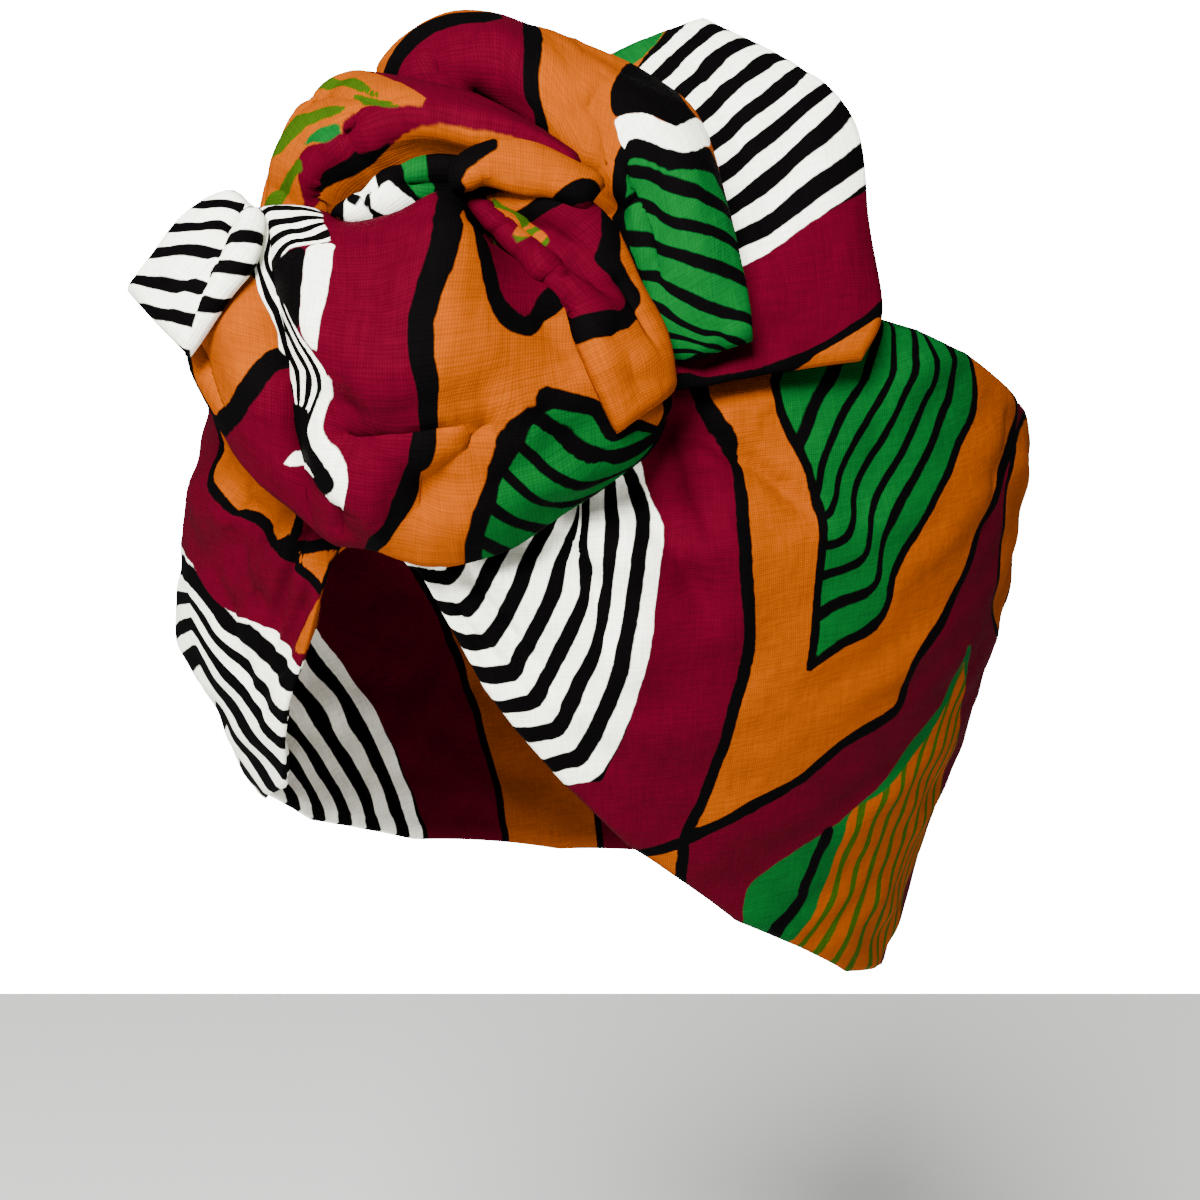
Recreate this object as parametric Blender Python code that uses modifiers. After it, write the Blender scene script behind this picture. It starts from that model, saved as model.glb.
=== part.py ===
"""Wired head wrap: one long doubled strip of printed cotton, wound round the head and twisted
into a rosette over the forehead. +Z is up, the wearer faces -Y and their left side is +X.
The origin is the middle of the head opening. Lengths in the tables are millimetres."""

import math

import bmesh
import bpy
import numpy as np
from mathutils import Vector

MM = 0.001

# cloth
CLOTH_THICK = 2.0
BAND_THICK = 2.4
CLEARANCE = 0.35

# the rosette faces a little to the wearer's left and up, and is laid out as seen from there
FACE_TURN = math.radians(28)
FACE_TIP = math.radians(15)
SIGHT = 560.0

FACING = Vector((
    math.sin(FACE_TURN) * math.cos(FACE_TIP),
    -math.cos(FACE_TURN) * math.cos(FACE_TIP),
    math.sin(FACE_TIP),
))
RIGHTWARD = Vector((math.cos(FACE_TURN), math.sin(FACE_TURN), 0))
UPWARD = RIGHTWARD.cross(-FACING)

# outside of the cloth round the head: height, half width, front and back
HEAD_LEVELS = (
    (-82, 56, -58, 76),
    (-46, 66, -72, 87),
    (-26, 73, -83, 95),
    (0, 80, -94, 101),
    (32, 83.5, -100, 105),
    (58, 78, -92, 97),
    (82, 60, -68, 74),
    (95, 38, -40, 46),
)

# where the strip's edges run: degrees from the knot, negative on the wearer's right, and the
# height of the lower and the upper edge
KNOT_TURN = 6.5
BAND_EDGES = (
    (-180, -84, 32),
    (-140, -80, 36),
    (-105, -69, 50),
    (-75, -52, 68),
    (-58, -38, 76),
    (-40, -30, 79),
    (-26, -21, 79),
    (-18, -3, 79),
    (-11, 14, 78),
    (-5, 32, 77),
    (0, 38, 75),
    (6, 30, 77),
    (12, 9, 79),
    (20, -10, 80),
    (28, -25, 80),
    (45, -47, 78),
    (75, -71, 64),
    (105, -81, 42),
    (135, -84, 34),
    (180, -84, 32),
)
BAND_STEPS_ROUND = 74
BAND_STEPS_UP = 10
GATHERED = 3.0

# pleats that run out of the knot, on both arms: degrees from the knot and share of the height
# at each end, then how wide and how deep the pleat is
BAND_PLEATS = (
    (9, 0.16, 36, 0.24, 7.0, -1.8),
    (7, 0.40, 44, 0.50, 7.5, -2.2),
    (7, 0.62, 55, 0.66, 8.0, -2.4),
    (9, 0.83, 48, 0.84, 7.0, -1.8),
)

# where the band lies flatter or fuller than the head under it: degrees from the knot, height,
# spread in degrees, spread in height, depth
BAND_HOLLOWS = (
    (-62, 42, 30, 26, -7.5),
    (-50, 4, 18, 14, 2.5),
    (104, 30, 30, 24, 3.0),
)

# the wound core that the folds are held by, in the rosette's directions
KNOT_MIDDLE = (-25, 66, 84)
KNOT_HALF_SIZE = (33, 36, 17)
KNOT_STEPS_ROUND = 30
KNOT_STEPS_DEEP = 12

# how much of its bulge a fold already has a seventh of the way in from its edge, and how far
# the cloth stands back behind an edge that it is turned over at
FULLNESS = 0.62
EDGE_ROUND = 2.2

# the share of the top loop that is turned over backwards at its edge
TURNED_TO = 0.42

# Each fold is a strip laid in sections. A section goes from edge a to edge b, and bulges out
# between them. right and up are read on the plane through the head's middle.
# columns: a right, a up, a out, b right, b up, b out, bulge
FRONT_FOLD = (
    (-86, 57, 98, -84.5, 51, 99, 0),
    (-80, 67, 102, -79, 39, 102, 4),
    (-73, 77, 104, -69, 24, 106, 8),
    (-68.5, 80, 106, -58, 14.5, 108, 12),
    (-63, 80, 108, -55, 12, 107, 1),
    (-55, 76, 113, -52, 11, 109, 16),
    (-41.5, 78, 120, -44.5, 10, 110, 18),
    (-30, 83.5, 119, -35, 7.5, 109, 20),
    (-20, 78, 110, -20.5, 11.5, 107, 21),
    (-6, 68, 108, 0, 23, 106, 13),
    (6, 58, 107, 10, 32, 104, 7),
    (13, 46, 105, 14.5, 42, 103, 1),
)

RIGHT_FOLD = (
    (-17, 85, 116, -28, 83, 118, 1.5),
    (-8, 85, 115, -21.5, 73, 119, 4),
    (1, 79, 113, -14, 66, 119, 5),
    (8, 65, 110, -7, 58, 121, 5),
    (13.5, 54, 109, -1.5, 45, 121, 4),
    (15, 43, 108, 3.5, 34.5, 116, 3),
)

INNER_FOLD = (
    (-31, 87, 121, -30, 84.5, 122, 1),
    (-25, 92, 120, -24, 85.5, 122, 2.5),
    (-16.5, 93.5, 118, -16, 83.5, 121, 3),
    (-8, 91, 117, -9, 83, 119, 2.5),
    (1, 86, 114, -3, 81, 117, 1.5),
)

CORE_TIP = (
    (-20, 90, 111, -25, 84, 110, 1),
    (-33, 92, 111, -35, 83.5, 110, 2),
    (-44, 89, 111, -42, 82.5, 112, 2),
    (-50, 84.5, 112, -46.5, 81, 112, 1.5),
    (-56, 80, 111, -53.5, 79.5, 111, 0.5),
)

ARCH_FOLD = (
    (-72, 66, 88, -60, 62, 92, 3),
    (-71, 83, 92, -55, 79, 100, 5),
    (-69, 93, 93, -57, 84, 104, 6),
    (-64, 104, 94, -54, 89, 107, 7),
    (-53, 110.5, 95, -46, 94, 110, 7),
    (-40, 106, 99, -37, 97.5, 112, 5),
    (-27, 102.5, 104, -25, 96, 114, 3),
    (-14, 96.5, 109, -14, 94.5, 114, 1.5),
    (-4, 90, 111, -5, 88.5, 113, 1),
)

TOP_LOOP = (
    (-47, 109.5, 84, -42, 104, 88, 3),
    (-41, 117, 84, -36, 102, 91, 7),
    (-30, 122.5, 84, -26, 99.5, 94, 10),
    (-16.5, 120.5, 84, -12, 95, 97, 11),
    (-2, 116, 84, -2, 87, 100, 11),
    (10, 110, 86, 3, 82, 101, 9),
    (19, 101, 90, 5, 77, 102, 7),
    (25.5, 82, 96, 9, 66, 103, 5),
    (30, 64, 100, 12, 55, 104, 3),
    (31.5, 54, 102, 21, 50.5, 104, 1),
)

LEFT_TAIL = (
    (-75, 84, 104, -70, 80, 109.5, 2),
    (-85, 79, 105, -71.5, 70, 115, 3),
    (-93, 70.5, 105, -77, 62.5, 115.5, 3),
    (-98, 64.5, 104, -85, 50.5, 111, 2),
)

BACK_PANEL = (
    (21, 120.5, 66, 0, 112, 74, 2),
    (39.5, 111, 67, 4, 101, 79, 3),
    (52, 99, 69, 8, 84, 85, 3),
    (55, 81, 72, 8, 69, 91, 3),
    (58.5, 60, 78, 8, 55, 97, 3),
    (54, 50, 84, 14, 44, 103, 2),
)

# sharp and soft folds in each piece: share of the length and of the breadth at each end,
# then how wide and how deep
FRONT_CREASES = (
    (0.42, 0.62, 0.80, 0.58, 4.0, -2.2),
    (0.50, 0.85, 0.85, 0.72, 4.5, -1.6),
    (0.62, 0.10, 0.78, 0.40, 6.0, -5.0),
)
RIGHT_CREASES = (
    (0.00, 0.35, 0.80, 0.35, 2.6, -2.6),
    (0.00, 0.70, 0.75, 0.66, 2.6, -2.8),
)
ARCH_CREASES = (
    (0.05, 0.42, 0.60, 0.42, 3.0, -3.0),
    (0.10, 0.78, 0.55, 0.80, 2.4, -1.6),
)
LOOP_CREASES = (
    (0.20, 0.80, 0.45, 0.50, 4.0, -2.0),
    (0.50, 0.90, 0.75, 0.35, 4.5, -2.0),
)
CORE_CREASES = (
    (0.10, 0.30, 0.90, 0.35, 2.0, -1.6),
    (0.00, 0.70, 0.70, 0.70, 2.0, -1.6),
)
TAIL_CREASES = ((0.05, 0.62, 1.0, 0.66, 2.0, -1.6),)
PANEL_CREASES = ((0.55, 0.75, 0.95, 0.55, 6.0, -1.6),)
INNER_CREASES = ()

# piece: sections, creases, how far edge a reaches on towards the knot and how far out the knot
# lies there, the same for edge b, steps along and across, colour
FOLDS = {
    "rosette_front_fold": (FRONT_FOLD, FRONT_CREASES, 13, 84, 0, 84, 38, 11, (0.55, 0.02, 0.10)),
    "rosette_right_fold": (RIGHT_FOLD, RIGHT_CREASES, 0, 84, 0, 84, 20, 10, (0.95, 0.36, 0.01)),
    "rosette_inner_fold": (INNER_FOLD, INNER_CREASES, 7, 84, 0, 84, 14, 9, (0.90, 0.30, 0.01)),
    "rosette_core_tip": (CORE_TIP, CORE_CREASES, 0, 84, 8, 84, 14, 7, (0.80, 0.82, 0.78)),
    "rosette_arch_fold": (ARCH_FOLD, ARCH_CREASES, 18, 84, 8, 84, 26, 12, (0.40, 0.01, 0.06)),
    "rosette_top_loop": (TOP_LOOP, LOOP_CREASES, 27, 56, 13, 84, 26, 13, (1.0, 0.45, 0.02)),
    "left_tail": (LEFT_TAIL, TAIL_CREASES, 0, 84, 0, 84, 12, 8, (0.75, 0.76, 0.72)),
    "back_panel": (BACK_PANEL, PANEL_CREASES, 0, 84, 12, 84, 16, 10, (0.70, 0.72, 0.68)),
}


def place(right, up, out):
    """The point seen at right and up from the rosette's front, standing out by out, in metres."""
    drawn_in = 1 - out / SIGHT
    point = FACING * out + (RIGHTWARD * right + UPWARD * up) * drawn_in
    return np.array(point) * MM


def through(points, count):
    """count points along a smooth curve through the given ones, each stretch taking as long as
    the square root of its length so that the curve doesn't swing wide."""
    points = np.asarray(points, float)
    steps = np.linalg.norm(np.diff(points, axis=0), axis=1) ** 0.5
    at = np.concatenate([[0], np.cumsum(steps)])
    tangents = np.gradient(points, at, axis=0)
    places = np.linspace(0, at[-1], count)
    stretch = np.clip(np.searchsorted(at, places, side="right") - 1, 0, len(points) - 2)
    step = steps[stretch][:, None]
    t = (places - at[stretch])[:, None] / step
    start, end = points[stretch], points[stretch + 1]
    leave, arrive = tangents[stretch] * step, tangents[stretch + 1] * step
    return (
        start * (2 * t ** 3 - 3 * t ** 2 + 1) + leave * (t ** 3 - 2 * t ** 2 + t)
        + end * (3 * t ** 2 - 2 * t ** 3) + arrive * (t ** 3 - t ** 2)
    )


def even(points, count):
    """count points evenly spaced along a polyline."""
    steps = np.linalg.norm(np.diff(points, axis=0), axis=1)
    run = np.concatenate([[0], np.cumsum(steps)])
    at = np.linspace(0, run[-1], count)
    return np.stack([np.interp(at, run, points[:, k]) for k in range(3)], axis=1)


def dent(along, across, folds, length, breadth):
    """How far each point is moved by the folds, each a line with a soft cross-section."""
    moved = np.zeros_like(along)
    for from_along, from_across, to_along, to_across, width, depth in folds:
        start = np.array([from_along * length, from_across * breadth])
        line = np.array([to_along * length, to_across * breadth]) - start
        off = np.stack([along * length, across * breadth], axis=-1) - start
        share = np.clip((off @ line) / (line @ line), 0, 1)
        away = np.linalg.norm(off - share[..., None] * line, axis=-1)
        fade = np.clip(share / 0.1 + 0.2, 0, 1) * np.clip((1 - share) / 0.6, 0, 1)
        moved += depth * fade * np.exp(-(away / width) ** 2)
    return moved * MM


def grid_normals(points):
    along = np.gradient(points, axis=0)
    across = np.gradient(points, axis=1)
    normals = np.cross(along, across)
    return normals / (np.linalg.norm(normals, axis=2, keepdims=True) + 1e-12)


def fold_points(sections, creases, reach_a, deep_a, reach_b, deep_b, steps_along, steps_across):
    """A grid of points for one fold, its sections joined smoothly and its creases pressed in."""
    heart_a = place(KNOT_MIDDLE[0], KNOT_MIDDLE[1], deep_a)
    heart_b = place(KNOT_MIDDLE[0], KNOT_MIDDLE[1], deep_b)
    rows = []
    stations = through(sections, steps_along + 1)
    spans = [np.linalg.norm(place(*row[0:3]) - place(*row[3:6])) for row in stations]
    for k, (row, span) in enumerate(zip(stations, spans)):
        a = place(*row[0:3])
        b = place(*row[3:6])
        share = min(1, span / (0.6 * max(spans)))
        back = share * min(1, max(0, (TURNED_TO - k / steps_along) / 0.14))
        out = np.array(FACING) * row[6] * MM
        line = [a, a + (b - a) / 7 + out * FULLNESS, (a + b) / 2 + out, b + (a - b) / 7 + out * FULLNESS, b]
        if reach_a and deep_a < KNOT_MIDDLE[2]:
            inward = (heart_a - a) / np.linalg.norm(heart_a - a) * reach_a * MM
            if back > 0.05:
                line.insert(0, a + (inward / 7 - np.array(FACING) * EDGE_ROUND * MM) * back)
                line.insert(0, a + inward * back)
        elif reach_a:
            inward = (heart_a - a) / np.linalg.norm(heart_a - a) * reach_a * MM
            line.insert(0, a + inward * share)
        if reach_b:
            inward = (heart_b - b) / np.linalg.norm(heart_b - b) * reach_b * share * MM
            line.append(b + inward)
        rows.append(even(through(line, 40), steps_across + 1))
    points = np.array(rows)
    length = np.linalg.norm(np.diff(points, axis=0), axis=2).sum(axis=0).mean() / MM
    breadth = np.linalg.norm(np.diff(points, axis=1), axis=2).sum(axis=1).mean() / MM
    along, across = np.meshgrid(
        np.linspace(0, 1, steps_along + 1), np.linspace(0, 1, steps_across + 1), indexing="ij"
    )
    normals = grid_normals(points)
    facing = np.sign((normals @ np.array(FACING)).sum())
    return points + normals * facing * dent(along, across, creases, length, breadth)[..., None]


def head_level(height):
    levels = np.array(HEAD_LEVELS, float)
    return [np.interp(height, levels[:, 0], levels[:, k]) for k in (1, 2, 3)]


def on_head(turn, height, off):
    """The point of the wrap's outside at this turn from the front and this height."""
    half_width, front, back = head_level(height)
    middle = (front + back) / 2
    half_length = (back - front) / 2
    out = np.array([math.sin(turn), -math.cos(turn)])
    ring = np.array([half_width * out[0], middle + half_length * out[1]])
    return np.array([ring[0] + off * out[0], ring[1] + off * out[1], height]) * MM


def hollow(from_knot, height):
    moved = GATHERED * math.exp(-(from_knot / 16) ** 2)
    for turn, level, spread_turn, spread_level, depth in BAND_HOLLOWS:
        away = ((from_knot - turn) / spread_turn) ** 2 + ((height - level) / spread_level) ** 2
        moved += depth * math.exp(-away)
    return moved


def band_points(off, rise=0.0):
    """The head band as rings of points from its lower edge to its upper edge."""
    edges = np.array(BAND_EDGES, float)
    strip = []
    for step in range(BAND_STEPS_ROUND):
        from_knot = -180 + 360 * step / BAND_STEPS_ROUND
        # steps crowd towards the knot, where the edges climb
        from_knot = 180 * math.copysign(abs(from_knot / 180) ** 1.35, from_knot)
        low, high = (np.interp(from_knot, edges[:, 0], edges[:, k]) for k in (1, 2))
        low, high = low - rise, high + rise
        column = []
        for up in range(BAND_STEPS_UP + 1):
            share = up / BAND_STEPS_UP
            height = low + (high - low) * share
            column.append((from_knot, share, height, off + hollow(from_knot, height)))
        strip.append(column)
    strip = np.array(strip)
    from_knot, share = np.abs(strip[..., 0]), strip[..., 1]
    pressed = dent(from_knot / 180, share, tuple(
        (a / 180, v, b / 180, w, width, depth) for a, v, b, w, width, depth in BAND_PLEATS
    ), 290, 115) / MM
    return np.array([
        [
            on_head(math.radians(point[0] + KNOT_TURN), point[2], point[3] + pressed[i, j])
            for j, point in enumerate(column)
        ]
        for i, column in enumerate(strip)
    ])


def material(name, colour):
    made = bpy.data.materials.new(name)
    made.use_nodes = True
    shader = made.node_tree.nodes["Principled BSDF"]
    shader.inputs["Base Color"].default_value = (*colour, 1)
    shader.inputs["Roughness"].default_value = 0.85
    shader.inputs["Metallic"].default_value = 0.0
    return made


def mesh_object(name, points, closed_round, colour, home):
    """A grid of points as a mesh, its first direction closed into a ring if asked."""
    rows, columns = points.shape[:2]
    shape = bmesh.new()
    vertices = [[shape.verts.new(p) for p in row] for row in points]
    for i in range(rows if closed_round else rows - 1):
        for j in range(columns - 1):
            after = vertices[(i + 1) % rows]
            shape.faces.new((vertices[i][j], after[j], after[j + 1], vertices[i][j + 1]))
    mesh = bpy.data.meshes.new(name)
    shape.to_mesh(mesh)
    shape.free()
    for face in mesh.polygons:
        face.use_smooth = True
    made = bpy.data.objects.new(name, mesh)
    made.data.materials.append(material(name, colour))
    home.objects.link(made)
    return made


def thicken(piece, thick, inward=True):
    solid = piece.modifiers.new("Cloth", "SOLIDIFY")
    solid.thickness = thick * MM
    solid.offset = -1 if inward else 1
    solid.use_even_offset = False
    solid.use_rim = True


def cut(piece, cutter):
    taken = piece.modifiers.new("Clear of " + cutter.name, "BOOLEAN")
    taken.operation = "DIFFERENCE"
    taken.solver = "EXACT"
    taken.object = cutter


def ellipsoid(name, grow, twisted, colour, home):
    """The wound core: a flattened ball with shallow spiral folds."""
    shape = bmesh.new()
    bmesh.ops.create_uvsphere(
        shape, u_segments=KNOT_STEPS_ROUND, v_segments=KNOT_STEPS_DEEP, radius=1
    )
    middle = place(*KNOT_MIDDLE)
    half = [(size + grow) * MM for size in KNOT_HALF_SIZE]
    for vertex in shape.verts:
        x, y, z = vertex.co
        wound = 1.0
        if twisted:
            angle = math.atan2(y, x) + 2.4 * z
            wound = 1 + 0.055 * math.cos(5 * angle) * (1 - z * z)
        moved = (
            RIGHTWARD * (x * half[0] * wound)
            + UPWARD * (y * half[1] * wound)
            + FACING * (z * half[2])
        )
        vertex.co = Vector(middle) + moved
    mesh = bpy.data.meshes.new(name)
    shape.to_mesh(mesh)
    shape.free()
    for face in mesh.polygons:
        face.use_smooth = True
    made = bpy.data.objects.new(name, mesh)
    made.data.materials.append(material(name, colour))
    home.objects.link(made)
    return made


def head_cutter(home):
    """All that lies inside the wrap and the band's cloth, so that the core rests on it."""
    rings = []
    for height in np.linspace(-70, 94, 24):
        rings.append([
            on_head(2 * math.pi * k / 72, height, CLEARANCE + GATHERED + 0.4) for k in range(72)
        ])
    shape = bmesh.new()
    vertices = [[shape.verts.new(p) for p in ring] for ring in rings]
    for lower, upper in zip(vertices, vertices[1:]):
        for k in range(72):
            shape.faces.new((lower[k], lower[(k + 1) % 72], upper[(k + 1) % 72], upper[k]))
    shape.faces.new(vertices[0][::-1])
    shape.faces.new(vertices[-1])
    mesh = bpy.data.meshes.new("head_space")
    shape.to_mesh(mesh)
    shape.free()
    made = bpy.data.objects.new("head_space", mesh)
    home.objects.link(made)
    return made


def hide(cutter):
    cutter.hide_render = True
    cutter.display_type = "WIRE"


def main():
    for existing in list(bpy.data.objects):
        bpy.data.objects.remove(existing)

    wrap = bpy.data.collections.new("wired_head_wrap")
    cutters = bpy.data.collections.new("cutters")
    cutters.hide_render = True
    for home in (wrap, cutters):
        bpy.context.scene.collection.children.link(home)

    band = mesh_object("head_band", band_points(0.0), True, (0.90, 0.32, 0.01), wrap)
    thicken(band, BAND_THICK)

    head_space = head_cutter(cutters)
    hide(head_space)
    knot = ellipsoid("knot", 0, True, (0.45, 0.02, 0.08), wrap)
    cut(knot, head_space)
    knot_space = ellipsoid("knot_space", 0.7, True, (0.5, 0.5, 0.5), cutters)
    hide(knot_space)

    for name, (*shape, colour) in FOLDS.items():
        points = fold_points(*shape)
        facing = (grid_normals(points) @ np.array(FACING)).sum()
        if facing < 0:
            points = points[:, ::-1]
        piece = mesh_object(name, points, False, colour, wrap)
        thicken(piece, CLOTH_THICK)
        cut(piece, knot_space)


main()
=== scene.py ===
import math

import bmesh
import bpy
import numpy as np
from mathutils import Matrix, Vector


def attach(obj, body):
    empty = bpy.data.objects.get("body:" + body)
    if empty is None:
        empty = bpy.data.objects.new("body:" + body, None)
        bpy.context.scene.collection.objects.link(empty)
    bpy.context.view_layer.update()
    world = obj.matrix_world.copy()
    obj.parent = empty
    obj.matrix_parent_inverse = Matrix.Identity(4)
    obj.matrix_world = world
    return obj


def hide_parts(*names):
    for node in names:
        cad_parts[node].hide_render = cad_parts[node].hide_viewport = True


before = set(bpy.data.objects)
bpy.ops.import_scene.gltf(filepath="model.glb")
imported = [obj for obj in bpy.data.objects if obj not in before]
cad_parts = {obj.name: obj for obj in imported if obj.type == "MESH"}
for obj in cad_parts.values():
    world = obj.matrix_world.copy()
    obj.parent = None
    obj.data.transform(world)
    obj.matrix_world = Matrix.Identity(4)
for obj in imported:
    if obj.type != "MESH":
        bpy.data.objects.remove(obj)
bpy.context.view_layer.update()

# Lengths are in millimetres unless a comment says otherwise, and become metres in a mesh.
MM = 0.001

# stand in for nought where a length or its square is divided by
TINY = 1e-12
TINY_SQUARE = 1e-18

# the rosette faces a little to one side and up, and is laid out as seen from there
FACE_TURN = math.radians(28)
FACE_TIP = math.radians(15)
FACING = Vector((
    math.sin(FACE_TURN) * math.cos(FACE_TIP),
    -math.cos(FACE_TURN) * math.cos(FACE_TIP),
    math.sin(FACE_TIP),
))
RIGHTWARD = Vector((math.cos(FACE_TURN), math.sin(FACE_TURN), 0))
UPWARD = RIGHTWARD.cross(-FACING)

# the photograph was taken from this far along FACING, with the origin in its middle
SIGHT = 560.0
LENS = 81
SENSOR = 36
PHOTO_SIZE = 1200
PHOTO_MIDDLE = PHOTO_SIZE / 2
PHOTO_FOCUS = PHOTO_SIZE * LENS / SENSOR
SIGHT_LINE = np.array(FACING)
EYE = SIGHT_LINE * SIGHT * MM

# cloth: two layers with a turned edge. Along its rim it is rounded over by EDGE_DROP and thins out
# in a few levels to this share of its thickness.
CLOTH_THICK = 1.7
BAND_THICK = 2.2
RIM_WIDE = 2.0
RIM_SHARE = 0.35
RIM_LEVELS = 10
EDGE_DROP = 0.6

# slight waves all over the cloth: their height, its share at the rim, how many run together, how
# far each may turn, the ranges of their lengths, their bend and the bend's length, how far on a
# bend may start, and the band's seed, from which the folds' are counted
CRUMPLE = 1.05
CRUMPLE_AT_RIM = 0.3
CRUMPLE_WAVES = 9
CRUMPLE_TURN = 0.7
CRUMPLE_LENGTHS = (9, 26)
CRUMPLE_BENDS = (0.4, 1.4)
CRUMPLE_BEND_LENGTHS = (17, 31)
CRUMPLE_BEND_START = 6
CRUMPLE_SEED = 20

# the grids' cells: their size, how much longer and broader than its sections a fold is taken to be,
# its fewest cells, and how many points each section's curve is drawn with
CELL = 1.1
LENGTH_ROOM = 1.35
BREADTH_ROOM = 1.3
FEWEST_ALONG = 24
FEWEST_ACROSS = 14
CURVE_POINTS = 60

# creases: what their depths are multiplied by, how round their bottom is, how softly and how far
# the cloth steps up beside them, and how many pixels to the left of one its left side is tried
CREASE_DEPTH = 1.35
CREASE_ROUND = 0.35
STEP_SOFT = 0.9
STEP_REACH = 2.2
PROBE = 7

# how a pleat or a crease fades, as shares of its length: its rise, how deep it starts, its fall
PLEAT_ENDS = (0.1, 0.2, 0.6)
CREASE_ENDS = (0.12, 0.15, 0.3)

# reading a place in the photograph back onto the cloth: how far the cloth has to face the camera,
# how far off in pixels it counts as where it doesn't, how flat a slope is followed, and over how
# many cells
LEAST_FACING = 0.05
OUT_OF_SIGHT = 1e5
LEAST_SLOPE = 0.12
MOST_CELLS = 14

# the print's edges: their softness, their wobble and its scale, how much of the wobble a stripe
# takes, how soft it is, and what share of each stretch is cut off at a corner
PRINT_SOFT = 0.14
PRINT_WOBBLE = 0.55
WOBBLE_SCALE = 420
STRIPE_WOBBLE = 0.12
STRIPE_SOFT = 0.025
CORNER_CUT = 0.22

# the narrowest outline that is drawn, and the least mean and single gap between two guide lines
LEAST_LINE = 0.05
LEAST_GAP = 0.5
LEAST_SPAN = 0.001

# keeps a stripe's count above nought and puts its middle on the whole numbers
COUNT_SHIFT = 100.5

# woven cotton: a thread's width, how the threads round off, how far one lies lower where it goes
# under, the dye's share in the painted shade between threads and the painted light that raised threads add
# to it
THREAD = 0.45
THREAD_ROUND = 0.6
UNDER_DROP = 0.10
SHADE_BETWEEN_THREADS = 0.85
LIGHT_ON_THREADS = 0.24

# uneven threads and dye: the scale of each, how long a slub is drawn, and how far each shades it
SLUB_SCALE = 1700
SLUB_STRETCH = 0.10
SLUB_SHADE = 0.38
UNEVEN_SCALE = 90
UNEVEN_SHADE = 0.18
FADED_SCALE = 24
FADED_SHADE = 0.12

# the cotton's finish: roughness and its change, the height of its fine crumple, threads and slubs
ROUGH = 0.80
ROUGH_CHANGE = 0.16
FINE_CRUMPLE_SCALE = 170
FINE_CRUMPLE_HEIGHT = 2.4
THREAD_HEIGHT = 0.25
SLUB_HEIGHT = 0.5
BUMP_HEIGHT = 0.16
SPECULAR = 0.01

# stage, in metres and watts
FLOOR_HEIGHT = -0.45
FLOOR_START = -1.2
FLOOR_END = 0.841
FLOOR_HALF_WIDTH = 1.4
FLOOR_COLOUR = (0.86, 0.86, 0.84, 1)
FLOOR_ROUGH = 0.9
WORLD_LIGHT = 0.32
WORLD_SEEN = 20.0
LIGHT_AT = (0.32, -1.07, 0.86)
LIGHT_SIZE = 0.42
LIGHT_POWER = 94
FILL_AT = (-0.5, -1.0, 0.30)
FILL_SIZE = 1.0
FILL_POWER = 9
LIGHTS_AIM = (0, 0, 0.02)

# dyes, as linear colours
DYES = {
    "burgundy": (0.048, 0.0006, 0.0053, 1),
    "orange": (0.200, 0.037, 0.0, 1),
    "green": (0.0014, 0.058, 0.0088, 1),
    "olive": (0.020, 0.048, 0.0018, 1),
    "black": (0.0010, 0.0008, 0.0009, 1),
    "white": (0.96, 0.96, 0.82, 1),
}

# outside of the wrapped band: height, half width, front and back
BAND_LEVELS = (
    (-82, 56, -58, 76),
    (-46, 66, -72, 87),
    (-26, 73, -83, 95),
    (0, 80, -94, 101),
    (32, 83.5, -100, 105),
    (58, 78, -92, 97),
    (82, 60, -68, 74),
    (95, 38, -40, 46),
)

# how many degrees the knot is turned from the front towards +x
KNOT_TURN = 6.5

# where the strip's edges run: degrees from the knot, then the height of the lower and upper edge
BAND_EDGES = (
    (-180, -84, 32),
    (-140, -80, 36),
    (-105, -69, 50),
    (-75, -52, 68),
    (-58, -38, 76),
    (-40, -30, 79),
    (-26, -21, 79),
    (-18, -3, 79),
    (-11, 14, 78),
    (-5, 32, 77),
    (0, 38, 75),
    (6, 30, 77),
    (12, 9, 79),
    (20, -10, 80),
    (28, -25, 80),
    (45, -47, 78),
    (75, -71, 64),
    (105, -83.5, 41),
    (135, -85, 34),
    (180, -84, 32),
)

# the cloth stands out where it is gathered at the knot, by this much and over these degrees
GATHERED = 3.0
GATHERED_SPREAD = 16

# the strip laid flat: its radius for lengths round the band, the share that heights gain where it
# slopes, and the half length and the height that the pleats' shares are taken of
ROUND_RADIUS = 92.0
HEIGHT_SHARE = 1.04
HALF_LENGTH = 290
STRIP_HEIGHT = 115

# the band's cells: up, and round, where they are fine from FINE_FROM on, coarser towards FAR_END,
# and coarsest beyond FAR_END and NEAR_END. The print that is seen ends at NEAR_END and is mirrored
# on from there. All of these turns are degrees from the knot.
CELLS_UP = 88
FAR_END = -98
FINE_FROM = -40
NEAR_END = 108
FAR_CELL = 1.3
HIDDEN_CELL = 2.4

# pleats that run out of the knot: degrees from the knot and share of the height at each end,
# then how wide and how deep the pleat is
BAND_PLEATS = (
    (9, 0.10, 30, 0.17, 4.0, -1.6),
    (8, 0.30, 26, 0.14, 3.5, -2.2),
    (7, 0.46, 44, 0.50, 5.5, -2.2),
    (7, 0.62, 55, 0.66, 6.5, -2.4),
    (9, 0.83, 48, 0.84, 5.0, -1.8),
    (14, 0.72, 60, 0.76, 3.5, 1.0),
    (10, 0.54, 40, 0.60, 3.0, 0.9),
    (12, 0.36, 34, 0.34, 3.0, 0.9),
)

# where the band lies flatter or fuller than its levels: degrees from the knot, height, spread in
# degrees, spread in height, depth
BAND_HOLLOWS = (
    (-62, 42, 30, 26, -7.5),
    (-50, 4, 18, 14, 2.5),
    (100, 40, 24, 30, 0.6),
)

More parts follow.
